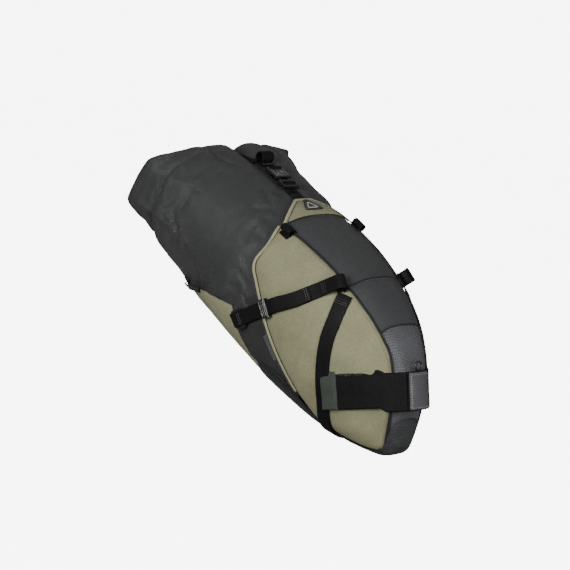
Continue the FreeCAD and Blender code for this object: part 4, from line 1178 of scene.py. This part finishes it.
def seam_piping(name):
    route = edge_route(TOP_SEAM, 240, 0.0, 3.6)
    cord = tube(name, route, 1.15, PIPING_CLOTH, 10)
    flange = strap(name + "_flange", shifted(route, 1.6, 2.9), outward(route), 2.6, 0.5, PIPING_CLOTH)
    return join(name, [cord, flange])


def seam_stitching(name):
    """Topstitching beside the piping, on the khaki side."""
    route = edge_route(TOP_SEAM[1:-1], 200, -4.2, 3.7)
    return stitches(name, route, outward(route), KHAKI_THREAD, 2.4, 1.4, 0.26)


def cross_seam(name, station, offset, material, fat):
    """Seam across the top: a rolled edge with stitches beside it."""
    edge = float(seam_bearing(np.array([station]))[0])
    bearing = np.linspace(edge + 0.01, math.pi - edge - 0.01, 120)
    route = skin(np.full(120, float(station)), bearing, offset)
    roll = tube(name, route, fat, material, 8)
    beside = skin(np.full(120, station - 3.4), bearing, offset + 0.6)
    seam = stitches(name + "_seam", beside, outward(beside), GREY_THREAD, 2.2, 1.3, 0.28)
    return fit(join(name, [roll, seam]), "holster", "piping")


def tongue_trim():
    """Pale binding round the tongue, a dark inset line and stitches."""
    rows = np.linspace(0, 1, 60)
    s = TONGUE_ROOT_S + (TONGUE_TIP_S - TONGUE_ROOT_S) * rows
    reach = 58.0 + (TONGUE_TIP_HALF - 58.0) * rows ** 1.08
    right = np.stack([s, -reach, 0 * s], -1)
    tip = np.array([[TONGUE_TIP_S, y, 0] for y in np.linspace(-TONGUE_TIP_HALF, TONGUE_TIP_HALF, 12)[1:-1]])
    left = right[::-1] * [1, -1, 1]
    flat = resample(np.vstack([right, tip, left]), 190)

    def lay(points, offset):
        bearing = bearing_at_width(points[:, 0], -points[:, 1])
        return skin(points[:, 0], bearing, offset)

    along = unit(np.gradient(flat, axis=0))
    inward = np.stack([-along[:, 1], along[:, 0], 0 * s[:1].repeat(190)], -1)
    inward *= np.sign(np.sum(inward * (np.array([TONGUE_ROOT_S, 0, 0]) - flat), -1, keepdims=True))
    band_route = lay(flat + inward * 2.0, 3.0)
    band = strap("tongue_binding", band_route, outward(band_route), 4.2, 0.95, KHAKI_EDGE)
    line = lay(flat + inward * 5.0, 3.5)
    cord = tube("tongue_line", line, 0.5, DARK_THREAD, 6)
    seam_route = lay(flat + inward * 3.4, 4.0)
    seam = stitches("tongue_seam", seam_route, outward(seam_route), KHAKI_THREAD, 2.2, 1.2, 0.26)
    # Straight seam where the tongue meets the grey top.
    edge = float(bearing_at_width(np.array([TONGUE_ROOT_S]), 57.0)[0])
    bearing = np.linspace(edge, math.pi - edge, 90)
    root = skin(np.full(90, TONGUE_ROOT_S - 0.4), bearing, 2.9)
    roll = tube("tongue_root", root, 0.8, PIPING_CLOTH, 8)
    return fit(join("tongue_binding", [band, cord, seam, roll]), "holster", "khaki_binding")


def badge():
    """Blank triangular badge with a raised rim."""
    centre = np.array([272.0, 0.0])
    outline = []
    for corner in range(3):
        angle = math.radians(90 + 120 * corner)
        tip = centre + np.array([math.sin(angle) * 11.0, math.cos(angle) * 12.0])
        for k in range(7):
            turn = angle + math.radians(-55 + 110 * k / 6)
            outline.append(tip + 3.2 * np.array([math.sin(turn), math.cos(turn)]))
    outline = np.array(outline)
    steps = ((1.06, 0.0), (1.06, 1.5), (1.02, 2.0), (0.88, 2.05), (0.80, 1.8), (0.76, 1.2),
             (0.60, 1.2), (0.58, 1.5), (0.48, 1.5), (0.46, 1.2), (0.02, 1.2))
    rings = []
    for scale, height in steps:
        flat = centre + (outline - centre) * scale
        bearing = bearing_at_width(flat[:, 0], -flat[:, 1])
        rings.append(skin(flat[:, 0], bearing, 3.3 + height))
    rings = np.array(rings)
    n, m = rings.shape[:2]
    faces = grid_faces(n, m, wrap=True)
    faces.append(list(range(m)))
    faces.append([(n - 1) * m + k for k in range(m)][::-1])
    uv = rings[..., :2].reshape(-1, 2) * MM
    obj = new_object("tongue_badge_blank", place(rings).reshape(-1, 3), faces, uv)
    fix_normals(obj)
    obj.data.materials.append(RUBBER)
    obj.data.materials.append(PALE_RUBBER)
    for polygon in obj.data.polygons:
        low = polygon.index // m
        if low in (6, 7, 8) and polygon.index < (n - 1) * m:
            polygon.material_index = 1
    return fit(obj, "holster", "badge_rubber", "tongue_badge")


def label():
    """Blank woven label beside the side panel's edge."""
    upper = side_outline([(178, -30), (150, -53)], 24)
    lower = side_outline([(184, -40), (157, -61)], 24)
    points = on_skin(between(lower, upper, 12), 2.5)
    obj = sheet_panel("blank_label", points, 0.5, 0.15 * ripple(points, 67), 0.6, LABEL)
    border = np.vstack([points[1, 1:-1], points[2:-2, -2], points[-2, 1:-1][::-1],
                        points[2:-2, 1][::-1], points[1, 1:2]])
    seam = stitches("label_seam", border, outward(border), GREY_THREAD, 1.6, 1.0, 0.22, 0.2)
    return fit(join("blank_label", [obj, seam]), "holster", "label_weave", "gusset_label")


# ---- Webbing ----------------------------------------------------------------

WEB = 20.0
WEB_THICK = 1.6
BELLY_ROUTE = [(114, -51, 69), (104, -63, 43), (98, -68, 14), (91, -67, -12),
               (82, -63, -37), (72, -57, -62), (64, -45, -92), (60, -22, -110)]
RAIL_LOOP_SPOT = (127, -50, 74)
RAIL_LOOP_HEIGHT = 12.5
LOOP_BORE = 5.0
LOOP_WALL = 1.5
KNUCKLE_GAP = 0.5
SIDE_ROUTE = [(142, -66, 58), (160, -79, 33)]
KEEPER_SPOT = (193, -90, -2)
KEEPER_LIFT = 6.4
KEEPER_REACH = 20.0
HOOK_SPOT = (226, -92, -40)
HOOK_LIFT = 9.2
ANCHOR_LIFT = 2.95
STRAP_LIFT = 5.3
ACCESSORY_SPOT = (238, -59, 82)
ACCESSORY_BORE = 3.8


def vector(*values):
    return np.array(values, float)


def rail_loop_frame():
    foot = settle(vector(*RAIL_LOOP_SPOT), 0.0)
    normal = outward(foot)
    heading = settle(vector(*SIDE_ROUTE[0]), 0.0) - foot
    heading = unit(heading - normal * np.dot(heading, normal))
    return foot + normal * RAIL_LOOP_HEIGHT, heading, normal


LOOP_CENTRE, LOOP_HEADING, LOOP_NORMAL = rail_loop_frame()


def belly_line():
    left = [(s, -y, h) for s, y, h in BELLY_ROUTE[::-1]]
    line = catmull(BELLY_ROUTE + left, 260)
    ramp = np.clip((-line[:, 2] - 72.0) / 18.0, 0, 1)
    return settle(line, 3.5 + 1.7 * ramp)


def side_strap_path():
    """Round the rail loop, down over the keeper to the hook."""
    radius = LOOP_BORE + LOOP_WALL + KNUCKLE_GAP
    angles = np.radians(np.linspace(130, 40, 30))
    radial = LOOP_HEADING * np.cos(angles)[:, None] + LOOP_NORMAL * np.sin(angles)[:, None]
    bend = LOOP_CENTRE + radial * radius
    keeper = settle(vector(*KEEPER_SPOT), KEEPER_LIFT)
    run = settle(vector(*HOOK_SPOT), HOOK_LIFT) - settle(vector(*SIDE_ROUTE[-1]), STRAP_LIFT)
    out = outward(keeper)
    run = unit(unit(run) - out * np.dot(unit(run), out))
    handles = [bend[-2], bend[-1]] + [settle(vector(*p), STRAP_LIFT) for p in SIDE_ROUTE]
    handles += [keeper + run * k * KEEPER_REACH for k in (-1.0, -0.5, 0.0, 0.5, 1.0)]
    handles.append(settle(vector(*HOOK_SPOT), HOOK_LIFT) + run * 8.0)
    rest = catmull(handles, 110)
    start = np.argmin(np.linalg.norm(rest - bend[-1], axis=1)) + 1
    route = np.vstack([bend, rest[start:]])
    normals = np.vstack([radial, outward(rest[start:])])
    return route, normals, keeper, run


SIDE_PATH, SIDE_NORMALS, KEEPER_CENTRE, STRAP_RUN = side_strap_path()
BELLY_LINE = belly_line()
SIDE_LINE = SIDE_PATH[30:]


def belly_strap():
    band = strap("belly_webbing", BELLY_LINE, outward(BELLY_LINE), WEB, 1.4, WEBBING)
    ends = []
    for start, step in ((6, 1), (len(BELLY_LINE) - 7, -1)):
        p = BELLY_LINE[start] + outward(BELLY_LINE[start]) * 1.5
        ends.append(bar_tack("belly_tack" + str(start), p, BELLY_LINE[start + step] - BELLY_LINE[start],
                             outward(BELLY_LINE[start]), WEB - 3, DARK_THREAD))
    return fit(join("belly_webbing", [band] + ends), "holster", "webbing", "belly_strap")


def loop_band(name, centre, along, up, bore, wall, width, drop, material, tall=1.0):
    """Webbing folded into a loop on a foot: round above, its two legs meeting below."""
    angles = np.radians(np.linspace(-52, 232, 40))
    flat = np.stack([np.cos(angles) * bore, np.sin(angles) * bore * tall], -1)
    out = np.stack([np.cos(angles), np.sin(angles)], -1)
    leg = np.array([[1.9, -drop], [2.1, -(drop + bore) / 2]])
    leg_out = np.array([[1.0, 0.0], [0.9, -0.4]])
    flat = np.vstack([leg, flat, (leg * [-1, 1])[::-1]])
    out = np.vstack([leg_out, out, (leg_out * [-1, 1])[::-1]])
    route = centre + along * flat[:, :1] + up * flat[:, 1:]
    normals = along * out[:, :1] + up * out[:, 1:]
    return strap(name, route, normals, width, wall, material)


def rail_loop(name):
    band = loop_band(name, LOOP_CENTRE, LOOP_HEADING, LOOP_NORMAL, LOOP_BORE, LOOP_WALL,
                     WEB - 1.0, 9.0, WEBBING)
    foot = settle(vector(*RAIL_LOOP_SPOT), 4.8)
    route = np.array([foot + LOOP_HEADING * k for k in np.linspace(-6.5, 6.5, 14)])
    base = strap(name + "_base", route, np.tile(LOOP_NORMAL, (14, 1)), WEB - 0.6, 1.2, WEBBING)
    tack = bar_tack(name + "_tack", foot + LOOP_HEADING * 4.4 + LOOP_NORMAL * 1.3, LOOP_HEADING, LOOP_NORMAL,
                    WEB - 4, GREY_THREAD, 2, 2.0)
    return join(name, [band, base, tack])


def side_strap(name):
    band = strap(name, SIDE_PATH, SIDE_NORMALS, WEB, WEB_THICK, WEBBING)
    p = SIDE_PATH[44]
    tack = bar_tack(name + "_tack", p + SIDE_NORMALS[44] * 1.7, SIDE_PATH[45] - p, SIDE_NORMALS[44],
                    WEB - 4, DARK_THREAD, 3, 5.0)
    end = SIDE_PATH[-9]
    hook_tack = bar_tack(name + "_end", end + SIDE_NORMALS[-9] * 1.7, STRAP_RUN, SIDE_NORMALS[-9], WEB - 4,
                         GREY_THREAD, 2, 3.0)
    return join(name, [band, tack, hook_tack])


def side_tail(name):
    """Free end of the webbing, doubled back over the strap through the keeper."""
    keep = (SIDE_PATH[:, 0] > 148.0) & (SIDE_PATH[:, 0] < 197.0) & (SIDE_PATH[:, 2] < 62.0)
    route, normals = SIDE_PATH[keep], SIDE_NORMALS[keep]
    lift = 0.35 + 0.5 * np.exp(-((np.arange(len(route)) - 3) / 4.0) ** 2)
    route = route + normals * (WEB_THICK + lift)[:, None]
    widths = np.full(len(route), WEB - 0.8)
    widths[:2] = (WEB - 5.0, WEB - 2.4)
    band = strap(name, route, normals, WEB, 1.4, WEBBING, widths)
    tack = bar_tack(name + "_tack", route[3] + normals[3] * 1.5, route[4] - route[3], normals[3], WEB - 4,
                    GREY_THREAD, 2, 3.0)
    return join(name, [band, tack])


def anchor(name):
    foot = settle(vector(*HOOK_SPOT), ANCHOR_LIFT)
    route = settle(np.array([foot + STRAP_RUN * k for k in np.linspace(-11, 15, 30)]), ANCHOR_LIFT)
    band = strap(name, route, outward(route), WEB - 2, 1.1, WEBBING)
    out = outward(route[25])
    tack = bar_tack(name + "_tack", route[25] + out * 1.2, STRAP_RUN, out, WEB - 5, GREY_THREAD, 3, 5.0)
    return join(name, [band, tack])


def keeper_bar(name):
    """Polished cross bar on the keeper that the webbing runs under."""
    out = outward(KEEPER_CENTRE)
    side = np.cross(out, STRAP_RUN)
    pieces = []
    for along, fat in ((-3.4, 1.1), (3.4, 1.1), (0.0, 0.7)):
        centre = KEEPER_CENTRE + STRAP_RUN * along + out * 5.4
        route = centre + side * np.linspace(-11.4, 11.4, 14)[:, None]
        pieces.append(tube(name + str(along), route, fat, BUCKLE, 10))
    return join(name, pieces)


def accessory_loop(name):
    foot = settle(vector(*ACCESSORY_SPOT), 0.0)
    up = outward(foot)
    centre = foot + up * (3.2 + ACCESSORY_BORE + 1.6)
    along = vector(1, 0, 0)
    side = unit(np.cross(up, along))
    band = loop_band(name, centre, side, up, ACCESSORY_BORE, 1.5, 18.0, 5.4, WEBBING, 1.05)
    route = np.array([foot + side * k + up * 3.1 for k in np.linspace(-9, 9, 14)])
    route = settle(route, 3.1)
    base = strap(name + "_base", route, outward(route), 17.0, 1.0, WEBBING)
    return join(name, [band, base])


# ---- Centre strap and closure ----------------------------------------------

def closure_height(s):
    over_bag = np.minimum(top_line(s), SHELL_CEILING) + 0.6
    return np.maximum(over_bag, 98.1 - np.maximum(s - 366.0, 0.0) * 0.25)


def centre_strap():
    """From under the tongue to the ladder, and the turn of webbing that the ladder carries over its bar."""
    made = []
    for name, handles in (("centre_webbing", ((282, 93.9), (292, 93.9), (303, 93.9), (314, 93.9))),
                          ("ladder_webbing", ((315.4, 95.3), (317, 95.8), (319.4, 97.4), (320.9, 100.4),
                                              (323.7, 102.3), (326.3, 100.6), (327.0, 97.8)))):
        line = catmull([(s, 0, h) for s, h in handles], 44)
        along = unit(np.gradient(line, axis=0))
        normals = np.stack([-along[:, 2], 0 * along[:, 0], along[:, 0]], -1)
        made.append(strap(name, line, normals, WEB - 0.4, 1.1, WEBBING))
    tack = bar_tack("centre_tack", vector(303, 0, 94.5), vector(1, 0, 0), vector(0, 0, 1),
                    WEB - 4, GREY_THREAD, 3, 5.0)
    fit(join("centre_webbing", [made[0], tack]), "holster", "webbing", "centre_strap")
    fit(made[1], "buckle_plug", "webbing")


def closure_strap(bag_grid):
    """From the buckle back over the bag, down into the cloth's valley and over the roll."""
    column = bag_grid[:, bag_grid.shape[1] // 2]
    column = column[np.argmax(column[:, 0] > 396.0):]
    top = column[: np.argmax(column[:, 0]) + 12]
    along = unit(np.gradient(top, axis=0))
    out = np.stack([-along[:, 2], 0 * along[:, 0], along[:, 0]], -1)
    lay = top + out * 1.1
    lead = [(362.6, 0, 98.0), (368.0, 0, 97.6), (376.0, 0, 95.6), (384.0, 0, 94.0)]
    line = resample(np.vstack([catmull(lead + [tuple(lay[0])], 30)[:-1], lay]), 150)
    along = unit(np.gradient(line, axis=0))
    normals = np.stack([-along[:, 2], 0 * along[:, 0], along[:, 0]], -1)
    band = strap("closure_webbing", line, normals, WEB, 1.5, WEBBING)
    turn = catmull([(362.6, 0, 99.5), (359.2, 0, 102.6), (357.6, 0, 104.6),
                    (355.2, 0, 103.0), (357.2, 0, 99.0)], 26)
    around = unit(np.gradient(turn, axis=0))
    over = np.stack([around[:, 2], 0 * around[:, 0], -around[:, 0]], -1)
    fold = strap("closure_fold", turn, over, WEB - 0.6, 1.2, WEBBING)
    tacks = [bar_tack(name, line[at] + normals[at] * 1.6, along[at], normals[at],
                      WEB - 4, GREY_THREAD, 3, 5.0)
             for name, at in (("closure_tack", 12), ("closure_low_tack", -6))]
    return fit(join("closure_webbing", [band, fold] + tacks), "roll_closure", "webbing", "closure_strap")


def closure_loop():
    """Stand-up pull loop sewn across the closure strap."""
    base = float(closure_height(np.array(382.0))) + 1.9
    centre = vector(382.0, 0, base + 8.0)
    band = loop_band("pull_loop", centre, vector(1, 0, 0), vector(0, 0, 1), 6.6, 1.5, WEB, 8.4, WEBBING, 1.12)
    route = np.array([(s, 0, float(closure_height(np.array(s))) + 1.4) for s in np.linspace(371, 394, 24)])
    foot = strap("pull_loop_foot", route, np.tile(vector(0, 0, 1), (24, 1)), WEB - 0.5, 1.2, WEBBING)
    tack = bar_tack("pull_loop_tack", route[3] + vector(0, 0, 1.4), vector(1, 0, 0), vector(0, 0, 1),
                    WEB - 4, GREY_THREAD, 2, 2.5)
    return fit(join("pull_loop", [band, foot, tack]), "roll_closure", "webbing", "closure_loop")


def buckle_trim():
    """Raised ring, grip ribs and side edges on the buckle housing."""
    turn = np.linspace(0, 2 * math.pi, 41)
    top = 103.5
    ring = np.stack([345.5 + 4.3 * np.cos(turn), 4.9 * np.sin(turn), np.full(41, top)], -1)
    # Ring, ribs and side edges take the lighter plastic, a painted highlight on the buckle's raised details.
    parts = [tube("buckle_ring", ring, 0.85, BUCKLE_PAINTED_HIGHLIGHT)]
    for k in range(3):
        s = 338.6 + 1.0 * k
        rib = np.stack([np.full(12, s), np.linspace(-8.5 + k, 8.5 - k, 12), np.full(12, top - 0.1)], -1)
        parts.append(tube("buckle_rib" + str(k), rib, 0.42, BUCKLE_PAINTED_HIGHLIGHT))
    for side in (-1, 1):
        line = np.stack([np.linspace(339.0, 354.0, 16), np.full(16, side * 9.6), np.full(16, top)], -1)
        parts.append(tube("buckle_edge" + str(side), line, 0.7, BUCKLE_PAINTED_HIGHLIGHT))
    return fit(join("buckle_trim", parts), "roll_closure", "buckle_plastic")


def roll_layers():
    """Edges of the rolled layers at both ends of the roll: a flattened spiral of cloth."""
    made = []
    for sign in (-1, 1):
        turn = np.linspace(0, 2 * math.pi * 2.6, 150)
        shrink = 1 - 0.27 * turn / (2 * math.pi)
        s = 461.0 + 8.5 * shrink * np.cos(turn)
        h = 23.0 + 27.0 * shrink * np.sin(turn)
        s = s - 0.18 * (h - LEAN_PIVOT)
        y = sign * (113.0 + 1.0 * np.cos(turn * 0.5))
        route = np.stack([s, np.full_like(s, 1.0) * y, h], -1)
        normal = np.stack([np.cos(turn), 0 * turn, np.sin(turn)], -1)
        made.append(strap("roll_edge" + str(sign), route, normal, 8.0, 1.1, DRY))
    return fit(join("roll_layers", made), "roll_closure", "drybag_fabric")


# ---- Seatpost strap ---------------------------------------------------------

POST_WEB = 50.0
POST_LAYER = 5.6
POST_SIDE_HEIGHT = 3.0
STIFF_PULL = 2.0                # how far the stiff strap gives, in mm, to follow the bag's side
POST_FRONT = [(14.6, -16.8), (17.0, -10.0), (17.6, 0.0), (17.0, 10.0), (11.5, 22.0), (1.0, 33.0)]
FLAP_ROUTE = [(14.6, -17.4), (11.0, -21.6), (4.0, -30.6), (-5.0, -37.2)]
FLAP_END = -70.0
TAB_END = -90.0
UP_POST = from_post(0.0, 0.0, 1.0)


def post_side(forward, offset, left=False):
    point = from_post(forward, 0.0, POST_SIDE_HEIGHT)
    bearing = bearing_at_height(point[..., 0], point[..., 2])
    side = skin(point[..., 0], bearing, offset)
    return side * [1, -1, 1] if left else side


def wide_band(name, centre_line, hold, width, thick, lift, material, columns=44, relief=None, edge=1.4):
    """Wide strap standing along the seatpost; hold is 1 where it lies on the bag's side."""
    along = unit(np.gradient(centre_line, axis=0))
    out = unit(np.cross(along, UP_POST))
    ahead = centre_line * [0, 1, 0] + from_post(14.0, 0.0, 0.0)
    out *= np.sign(np.sum(out * ahead, -1, keepdims=True))
    across = np.linspace(-width / 2, width / 2, columns)
    points = centre_line[:, None] + UP_POST * across[None, :, None]
    bearing = bearing_at_height(points[..., 0], points[..., 2])
    lying = skin(points[..., 0], bearing, POST_LAYER)
    lying[..., 1] *= np.where(centre_line[:, None, 1] > 0, -1, 1)
    pull = lying - points
    pull *= np.minimum(1.0, STIFF_PULL / np.maximum(np.linalg.norm(pull, axis=-1, keepdims=True), 1e-6))
    points = points + pull * hold[:, None, None]
    skin_out = outward(points)
    away = unit(out[:, None] * (1 - hold)[:, None, None] + skin_out * hold[:, None, None])
    points = points + away * (thick + lift)
    bump = 0.3 * ripple(points, 71, ((30, 1.0), (14, 0.5)))
    return sheet_panel(name, points, thick, bump if relief is None else relief, edge, material)


def seatpost_strap():
    plan = catmull([(f, y, 0) for f, y in POST_FRONT], 60)
    front = from_post(plan[:, 0], plan[:, 1], 0.0)
    side = post_side(np.linspace(-10.0, -46.0, 30), POST_LAYER, True)
    line = resample(np.vstack([front, side]), 110)
    travel = np.linspace(0, 1, 110)
    hold = smoothstep((travel - 0.50) / 0.45)
    band = wide_band("seatpost_webbing", line, hold, POST_WEB, WEB_THICK, 0.0, POST_WEBBING)
    return fit(band, "holster", "webbing", "seatpost_strap")


def seatpost_patch():
    plan = catmull([(f, y, 0) for f, y in POST_FRONT], 60)[2:36]
    line = from_post(plan[:, 0], plan[:, 1], 0.0)
    hold = np.zeros(len(line))
    patch = wide_band("seatpost_grip_patch", line, hold, POST_WEB - 3.0, 0.9, 1.7, EMBOSSED)
    along = unit(np.gradient(line, axis=0))
    out = unit(np.cross(along, UP_POST))
    out *= np.sign(np.sum(out * (line * [0, 1, 0] + from_post(14.0, 0.0, 0.0)), -1, keepdims=True))
    outer = line + out * 4.3
    half = POST_WEB / 2 - 4.0
    seams = [stitches("patch_seam_a", outer[2:-2] + UP_POST * half, out[2:-2], PALE_THREAD, 2.0, 1.2, 0.3),
             stitches("patch_seam_b", outer[2:-2] - UP_POST * half, out[2:-2], PALE_THREAD, 2.0, 1.2, 0.3)]
    for row in (2, -3):
        ends = np.linspace(-half, half, 40)
        route = outer[row] + UP_POST * ends[:, None]
        facing = np.tile(out[row], (40, 1))
        seams.append(stitches("patch_seam" + str(row), route, facing, PALE_THREAD, 2.0, 1.2, 0.3))
    return fit(join("seatpost_grip_patch", [patch] + seams), "holster", "textured_fabric", "seatpost_patch")


def flap_line():
    plan = catmull([(f, y, 0) for f, y in FLAP_ROUTE], 24)
    corner = from_post(plan[:, 0], plan[:, 1], 0.0)
    side = post_side(np.linspace(-14.0, FLAP_END, 50), POST_LAYER)
    return resample(np.vstack([corner, side]), 110)


def seatpost_flap():
    line = flap_line()
    hold = 0.4 * smoothstep((np.linspace(0, 1, 110) - 0.20) / 0.60)
    band = wide_band("seatpost_flap_webbing", line, hold, POST_WEB, WEB_THICK, 0.0, POST_WEBBING)
    return fit(band, "seatpost_flap", "webbing", "seatpost_flap")


def seatpost_tab():
    line = post_side(np.linspace(FLAP_END + 2.0, TAB_END, 30), POST_LAYER)
    tab = wide_band("seatpost_pull_tab", line, np.full(30, 0.4), POST_WEB - 0.6, 1.0, 1.5, TAB_CLOTH)
    ends = np.linspace(-POST_WEB / 2 + 3, POST_WEB / 2 - 3, 40)
    seams = []
    for row in (3, 5):
        flat = line[row] + UP_POST * ends[:, None]
        bearing = bearing_at_height(flat[:, 0], flat[:, 2])
        flat = flat + (skin(flat[:, 0], bearing, POST_LAYER) - flat) * 0.4
        route = flat + outward(flat) * 2.7
        seams.append(stitches("tab_seam" + str(row), route, outward(route), GREY_THREAD, 2.0, 1.1, 0.3))
    return fit(join("seatpost_pull_tab", [tab] + seams), "seatpost_flap", "tab_fabric", "seatpost_tab")


def hook_field():
    forward = np.linspace(-30.0, -64.0, 40)
    up = np.linspace(-18.0, 24.0, 46)
    place_at = from_post(forward[:, None], 0.0, up[None])
    bearing = bearing_at_height(place_at[..., 0], place_at[..., 2])
    points = skin(place_at[..., 0], bearing, 4.1)
    pile = 0.25 * ripple(points, 73, ((5, 1.0), (2.6, 0.8)))
    return fit(sheet_panel("hook_pile", points, 0.9, pile, 0.8, PILE), "holster", "loop_pile", "hook_field")


# ---- Putting it together ----------------------------------------------------

def finish_cad(material, *nodes):
    """CAD pieces whose shape is right keep it and take a better material."""
    for node in nodes:
        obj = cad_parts[node]
        for slot in obj.material_slots:
            slot.material = material


bag, bag_grid = dry_bag()
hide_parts("drybag_shell", "mouth_collar", "rolled_end")
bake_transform(bag)

top_panel()
saddle_panel()
front_panel()
nose_cap()
tongue()
tongue_trim()
badge()
boot()
cradle()
hem()
fit_pair(wing_binding, "wing_binding", "holster", "boot_fabric")
label()
for panel in fit_pair(side_panel, "side_cloth", "holster", "khaki_fabric", ["side_panel"]):
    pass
fit_pair(gusset, "gusset_cloth", "holster", "gusset_fabric", ["gusset"])
fit_pair(panel_binding, "rear_binding", "holster", "khaki_binding", ["panel_binding"])
fit_pair(seam_piping, "top_piping", "holster", "piping", ["seam_piping"])
fit_pair(seam_stitching, "top_stitching", "holster", "khaki_fabric")
cross_seam("mid_seam", MID_SEAM_S, 2.9, PIPING_CLOTH, 0.8)
cross_seam("front_seam", FRONT_SEAM_S - 2.0, 2.6, PIPING_CLOTH, 0.8)
belly_strap()
fit_pair(rail_loop, "rail_loop_webbing", "holster", "webbing", ["rail_loop"])
fit_pair(accessory_loop, "accessory_loop_webbing", "holster", "webbing", ["accessory_loop"])
fit_pair(anchor, "hook_anchor", "holster", "webbing", ["strap_anchor"])
fit_pair(side_strap, "side_webbing", "side_strap", "webbing", ["side_strap"], sided_body=True)
fit_pair(side_tail, "side_webbing_tail", "side_strap", "webbing", ["side_strap_tail"], sided_body=True)
fit_pair(keeper_bar, "keeper_bars", "keeper", "buckle_plastic", sided_body=True)
centre_strap()
closure_strap(bag_grid)
closure_loop()
buckle_trim()
roll_layers()
seatpost_strap()
seatpost_patch()
seatpost_flap()
seatpost_tab()
hook_field()
finish_cad(BUCKLE, "buckle_male", "buckle_female", "side_hook_right", "side_hook_left",
           "keeper_right", "keeper_left")
finish_cad(WIRE, "seatpost_ring")
finish_cad(SHEET_PLASTIC, "base_stiffener", "roll_stiffener")


# ---- Floor, light and camera ------------------------------------------------

VIEW_BACK = Vector((0.6494, -0.7002, 0.2966))
VIEW_RIGHT = Vector((0.6881, 0.7071, 0.1627))
VIEW_UP = Vector((-0.3236, 0.0984, 0.9411))
CAMERA_DISTANCE = 3.0
LENS = 149.2
FLOOR_GLOW = 7.0
WORLD_LIGHT = 0.2


def floor():
    """Pale floor curving up all round into a backdrop, seen by the camera but casting no light."""
    low = cad_box[0][2] - 0.42
    rings, spokes = 40, 64
    verts = [(0.0, 0.0, low)]
    for i in range(1, rings + 1):
        reach = 9.0 * i / rings
        rise = low + 0.35 * max(reach - 4.0, 0.0) ** 2
        verts += [(reach * math.cos(2 * math.pi * k / spokes),
                   reach * math.sin(2 * math.pi * k / spokes), rise) for k in range(spokes)]
    faces = [(0, 1 + k, 1 + (k + 1) % spokes) for k in range(spokes)]
    for i in range(rings - 1):
        for k in range(spokes):
            n = (k + 1) % spokes
            a, b = 1 + i * spokes, 1 + (i + 1) * spokes
            faces.append((a + k, b + k, b + n, a + n))
    obj = new_object("pale_floor", verts, faces)
    fix_normals(obj)
    material, tree, shader = new_shader("pale_floor_paint", Roughness=0.9, Specular_IOR_Level=0.1,
                                        Emission_Strength=FLOOR_GLOW)
    shader.inputs["Emission Color"].default_value = (1, 1, 1, 1)
    speck = noise(tree, 0.05, 3.0)
    paint = mix_colour(tree, speck, (0.80, 0.80, 0.80, 1), (0.84, 0.84, 0.84, 1))
    tree.links.new(paint, shader.inputs["Base Color"])
    obj.data.materials.append(material)
    obj.visible_diffuse = False
    obj.visible_glossy = False


def area_light(name, where, target, size, power):
    data = bpy.data.lights.new(name, "AREA")
    data.shape = "RECTANGLE"
    data.size, data.size_y = size
    data.energy = power
    obj = bpy.data.objects.new(name, data)
    bpy.context.scene.collection.objects.link(obj)
    obj.location = where
    obj.rotation_mode = "QUATERNION"
    obj.rotation_quaternion = (Vector(target) - Vector(where)).to_track_quat("-Z", "Y")
    return obj


def studio():
    world = bpy.data.worlds.new("studio_world")
    world.use_nodes = True
    world.node_tree.nodes["Background"].inputs[0].default_value = (1.0, 1.0, 1.0, 1.0)
    world.node_tree.nodes["Background"].inputs[1].default_value = WORLD_LIGHT
    bpy.context.scene.world = world
    middle = (cad_box[0] + cad_box[1]) / 2
    area_light("key_light", middle + Vector((0.55, -1.65, 0.6)), middle, (0.7, 0.7), 43.0)
    area_light("top_light", middle + Vector((-0.6, 0.5, 1.7)), middle, (1.2, 0.8), 2.5)
    area_light("front_light", middle + Vector((1.7, -0.1, 0.6)), middle, (0.4, 0.9), 20.0)


def camera():
    data = bpy.data.cameras.new("camera")
    data.lens = LENS
    data.sensor_width = 36.0
    data.clip_end = 50.0
    obj = bpy.data.objects.new("camera", data)
    bpy.context.scene.collection.objects.link(obj)
    where = VIEW_BACK.normalized() * CAMERA_DISTANCE
    aim = VIEW_RIGHT * -0.1575 + VIEW_UP * 0.1334
    back = (where - aim).normalized()
    right = VIEW_UP.cross(back).normalized()
    up = back.cross(right)
    obj.matrix_world = Matrix.Translation(where) @ Matrix((right, up, back)).transposed().to_4x4()
    bpy.context.scene.camera = obj


floor()
studio()
camera()
